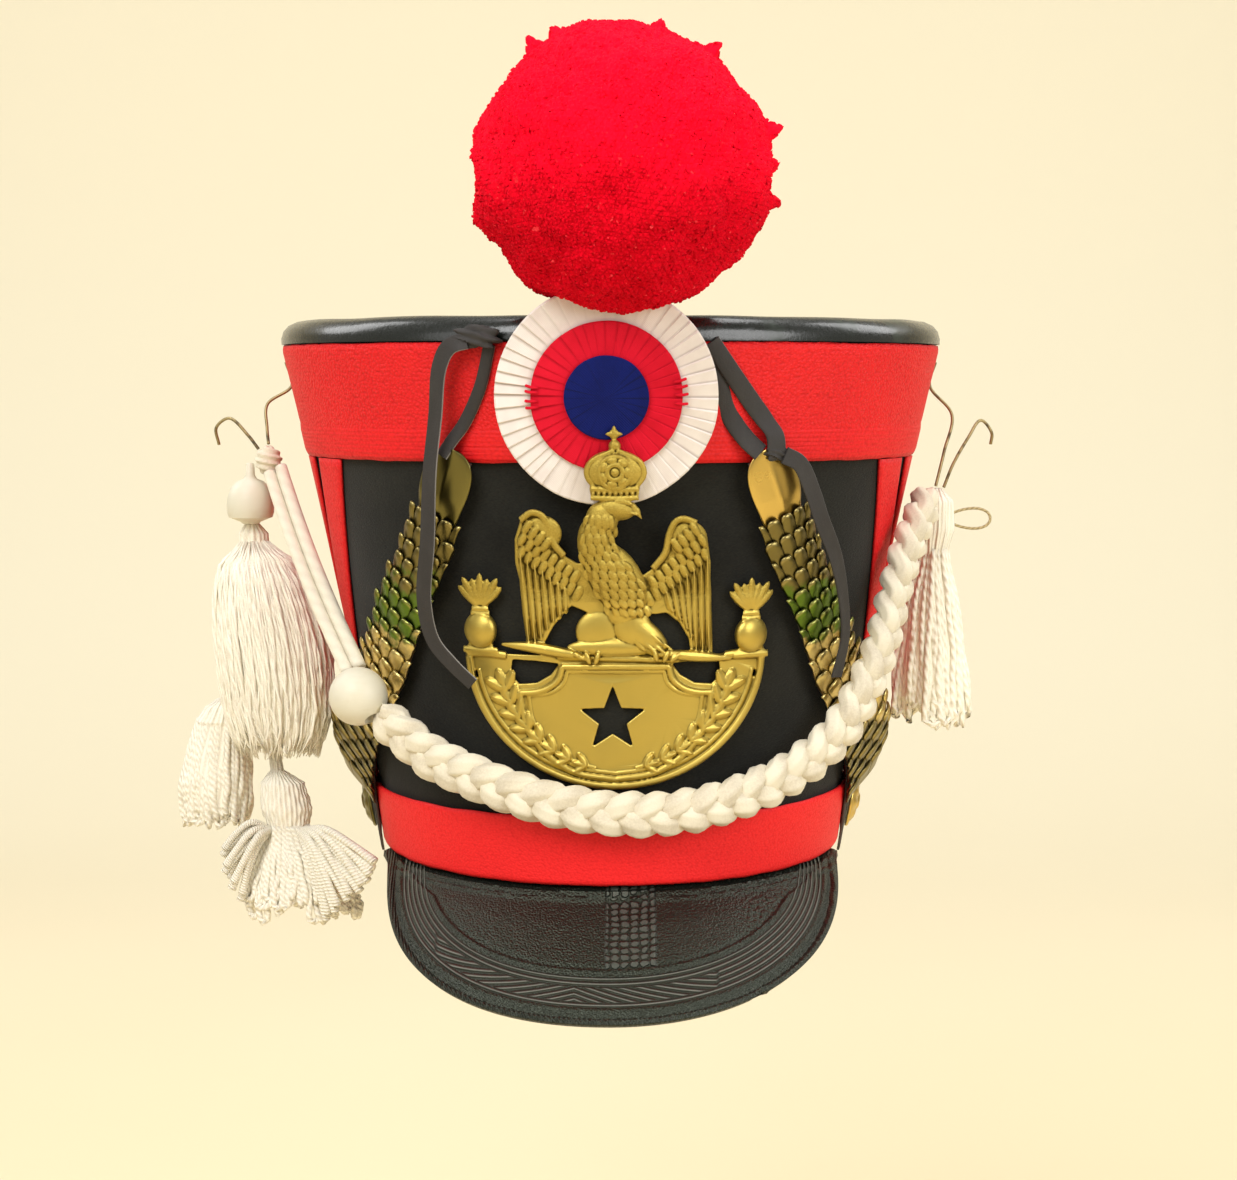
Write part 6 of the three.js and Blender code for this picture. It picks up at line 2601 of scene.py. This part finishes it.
    def _wires(self, side: Side, wire: Material) -> None:
        """Build the hanger and the open hook of one side.

        Args:
            side: The side that they are on.
            wire: Their finish.
        """
        bearing = side.value * pi / 2
        held = [CROWN.point(bearing, z, self.hanger_out) for z in self.hanger_held]
        for node, points in (
            (f"hanger_{side.word}", [*held, *(Vector(p) for p in self.hangers[side])]),
            (f"hook_{side.word}", [Vector(p) for p in self.hooks[side]]),
        ):
            mould = Mould()
            mould.tube(Route(points), lambda u: self.wire_radius, 10, 60)
            mould.turn_out()
            mould.piece(node + "_wire", wire, "wire", [node])

    def _thread(self) -> None:
        """Build the loop of thread beside the right tassel."""
        x, y, z, half_x, half_z, radius = self.thread
        turns = [i * tau / 28 for i in range(29)]
        points = [
            Vector((x + half_x * cos(t), y + 0.4 * sin(2 * t), z + half_z * sin(t) * (1.1 + 0.3 * cos(t))))
            for t in turns
        ]
        mould = Mould()
        mould.tube(Route(points), lambda u: radius * 0.9, 8, 84)
        mould.turn_out()
        yarn = Yarn("loop_thread", 20.0, 2.0, 0.0002, (0.52, 0.42, 0.22), (0.20, 0.15, 0.07))
        mould.piece("thread_loop_right_thread", yarn.material(), "white_cotton", ["thread_loop_right"])


# Stage


@dataclass
class Studio:
    """A pale seamless floor and backdrop, soft lights and the camera."""

    floor: float = -0.34
    paper: Colour = (0.85, 0.785, 0.60)
    # Darker floor colour near the front: painted shade.
    near_paper_painted_shade: Colour = (0.73, 0.61, 0.39)
    camera_at: Row = (0.003, -0.946, 0.177)
    tilt: float = 4.9
    lens: float = 71.13
    paper_size: Pair = (9.0, 8.0)
    paper_front: float = -3.5
    bend: float = 1.6
    bend_radius: float = 0.9
    room: Colour = (1.0, 0.95, 0.86)
    room_strength: float = 0.40
    hat_aim: Row = (0.0, 0.0, 0.12)
    paper_aim: Row = (0.0, 1.6, 0.2)
    lamps: tuple[tuple[str, Row, float, float], ...] = (
        ("key", (-0.55, -1.15, 1.15), 1.0, 19.5),
        ("fill", (0.95, -0.95, 0.55), 0.9, 10.5),
        ("side", (-1.0, -0.95, 0.40), 0.8, 2.2),
        ("top", (0.1, 0.15, 1.5), 1.1, 13.0),
        ("paper_left", (-1.4, 0.7, 1.2), 1.2, 15.0),
        ("paper_right", (1.4, 0.7, 1.2), 1.2, 15.0),
    )

    def build(self) -> None:
        """Set up the whole stage."""
        self._camera()
        self._paper()
        self._lights()

    def _camera(self) -> None:
        """Place the camera at the photograph's angle."""
        data = bpy.data.cameras.new("camera")
        data.lens = self.lens
        data.sensor_width = 36.0
        camera = bpy.data.objects.new("camera", data)
        camera.location = self.camera_at
        camera.rotation_euler = (radians(90 - self.tilt), 0.0, 0.0)
        link(camera)
        bpy.context.scene.camera = camera

    def _paper(self) -> None:
        """Build the floor that curves up into a backdrop."""
        mould = Mould()

        def place(u: float, v: float) -> Vector:
            """A place on the paper, in metres.

            Args:
                u: Share of the way across.
                v: Share of the way back.

            Returns:
                The place.
            """
            x = (u - 0.5) * self.paper_size[0]
            past = v * self.paper_size[1] + self.paper_front - self.bend
            if past < 0:
                return Vector((x, self.bend + past, self.floor))
            turn = min(past / self.bend_radius, pi / 2)
            rise = self.bend_radius * (1 - cos(turn)) + max(0.0, past - self.bend_radius * pi / 2)
            return Vector((x, self.bend + self.bend_radius * sin(turn), self.floor + rise))

        mould.sheet(24, 60, place)
        mesh = bpy.data.meshes.new("paper")
        mould.bm.to_mesh(mesh)
        mould.bm.free()
        s = Shader("paper")
        # Darker near the front and paler towards the back, with cloud noise: painted shade and light on the
        # paper.
        away = s.split(s.coords())[1] + s.cloud(s.coords(), 0.5, 2) * 0.3
        s.surface_set(base_color=s.mix(away.step(0.2, 2.6), self.near_paper_painted_shade, self.paper), roughness=0.95)
        mesh.materials.append(s.material)
        mesh.shade_smooth()
        paper = bpy.data.objects.new("paper", mesh)
        link(paper)

    def _lights(self) -> None:
        """Hang the soft lights and the pale surroundings."""
        world = bpy.data.worlds.new("room")
        world.use_nodes = True
        background = world.node_tree.nodes["Background"].inputs
        background["Color"].default_value = (*self.room, 1.0)
        background["Strength"].default_value = self.room_strength
        bpy.context.scene.world = world
        bpy.context.scene.view_settings.view_transform = "Standard"
        for name, spot, size, power in self.lamps:
            data = bpy.data.lights.new(name, "AREA")
            data.shape = "DISK"
            data.size = size
            data.energy = power
            light = bpy.data.objects.new(name, data)
            light.location = spot
            aim = Vector(self.paper_aim if name.startswith("paper") else self.hat_aim)
            light.rotation_euler = (aim - Vector(spot)).to_track_quat("-Z", "Y").to_euler()
            link(light)


def main() -> None:
    """Build the hat in order, from the camera and cords to the trimmings."""
    logging.basicConfig(level=logging.INFO, format="%(message)s")
    Studio().build()
    WhiteCord().build()
    Ties().build()
    Body().build()
    Peak().build()
    Cockade().build()
    Pompom().build()
    FrontPlate().build()
    scales = ScaleBrass().material()
    # The left tongue's brass is a darker copy of the right one's: painted shade.
    tongues = {
        Side.LEFT: Brass("tongue_brass_left", (0.19, 0.165, 0.052), (0.12, 0.10, 0.03), gloss=0.24),
        Side.RIGHT: Brass("tongue_brass_right", (0.66, 0.47, 0.13), (0.46, 0.32, 0.08), gloss=0.24),
    }
    leather = StrapLeather("strap_leather", (0.022, 0.017, 0.015), (0.07, 0.055, 0.045)).material()
    for side in Side:
        ChinScales(side, scales, tongues[side].material(), leather).build()
    Trimmings().build()


if __name__ == "__main__":
    main()
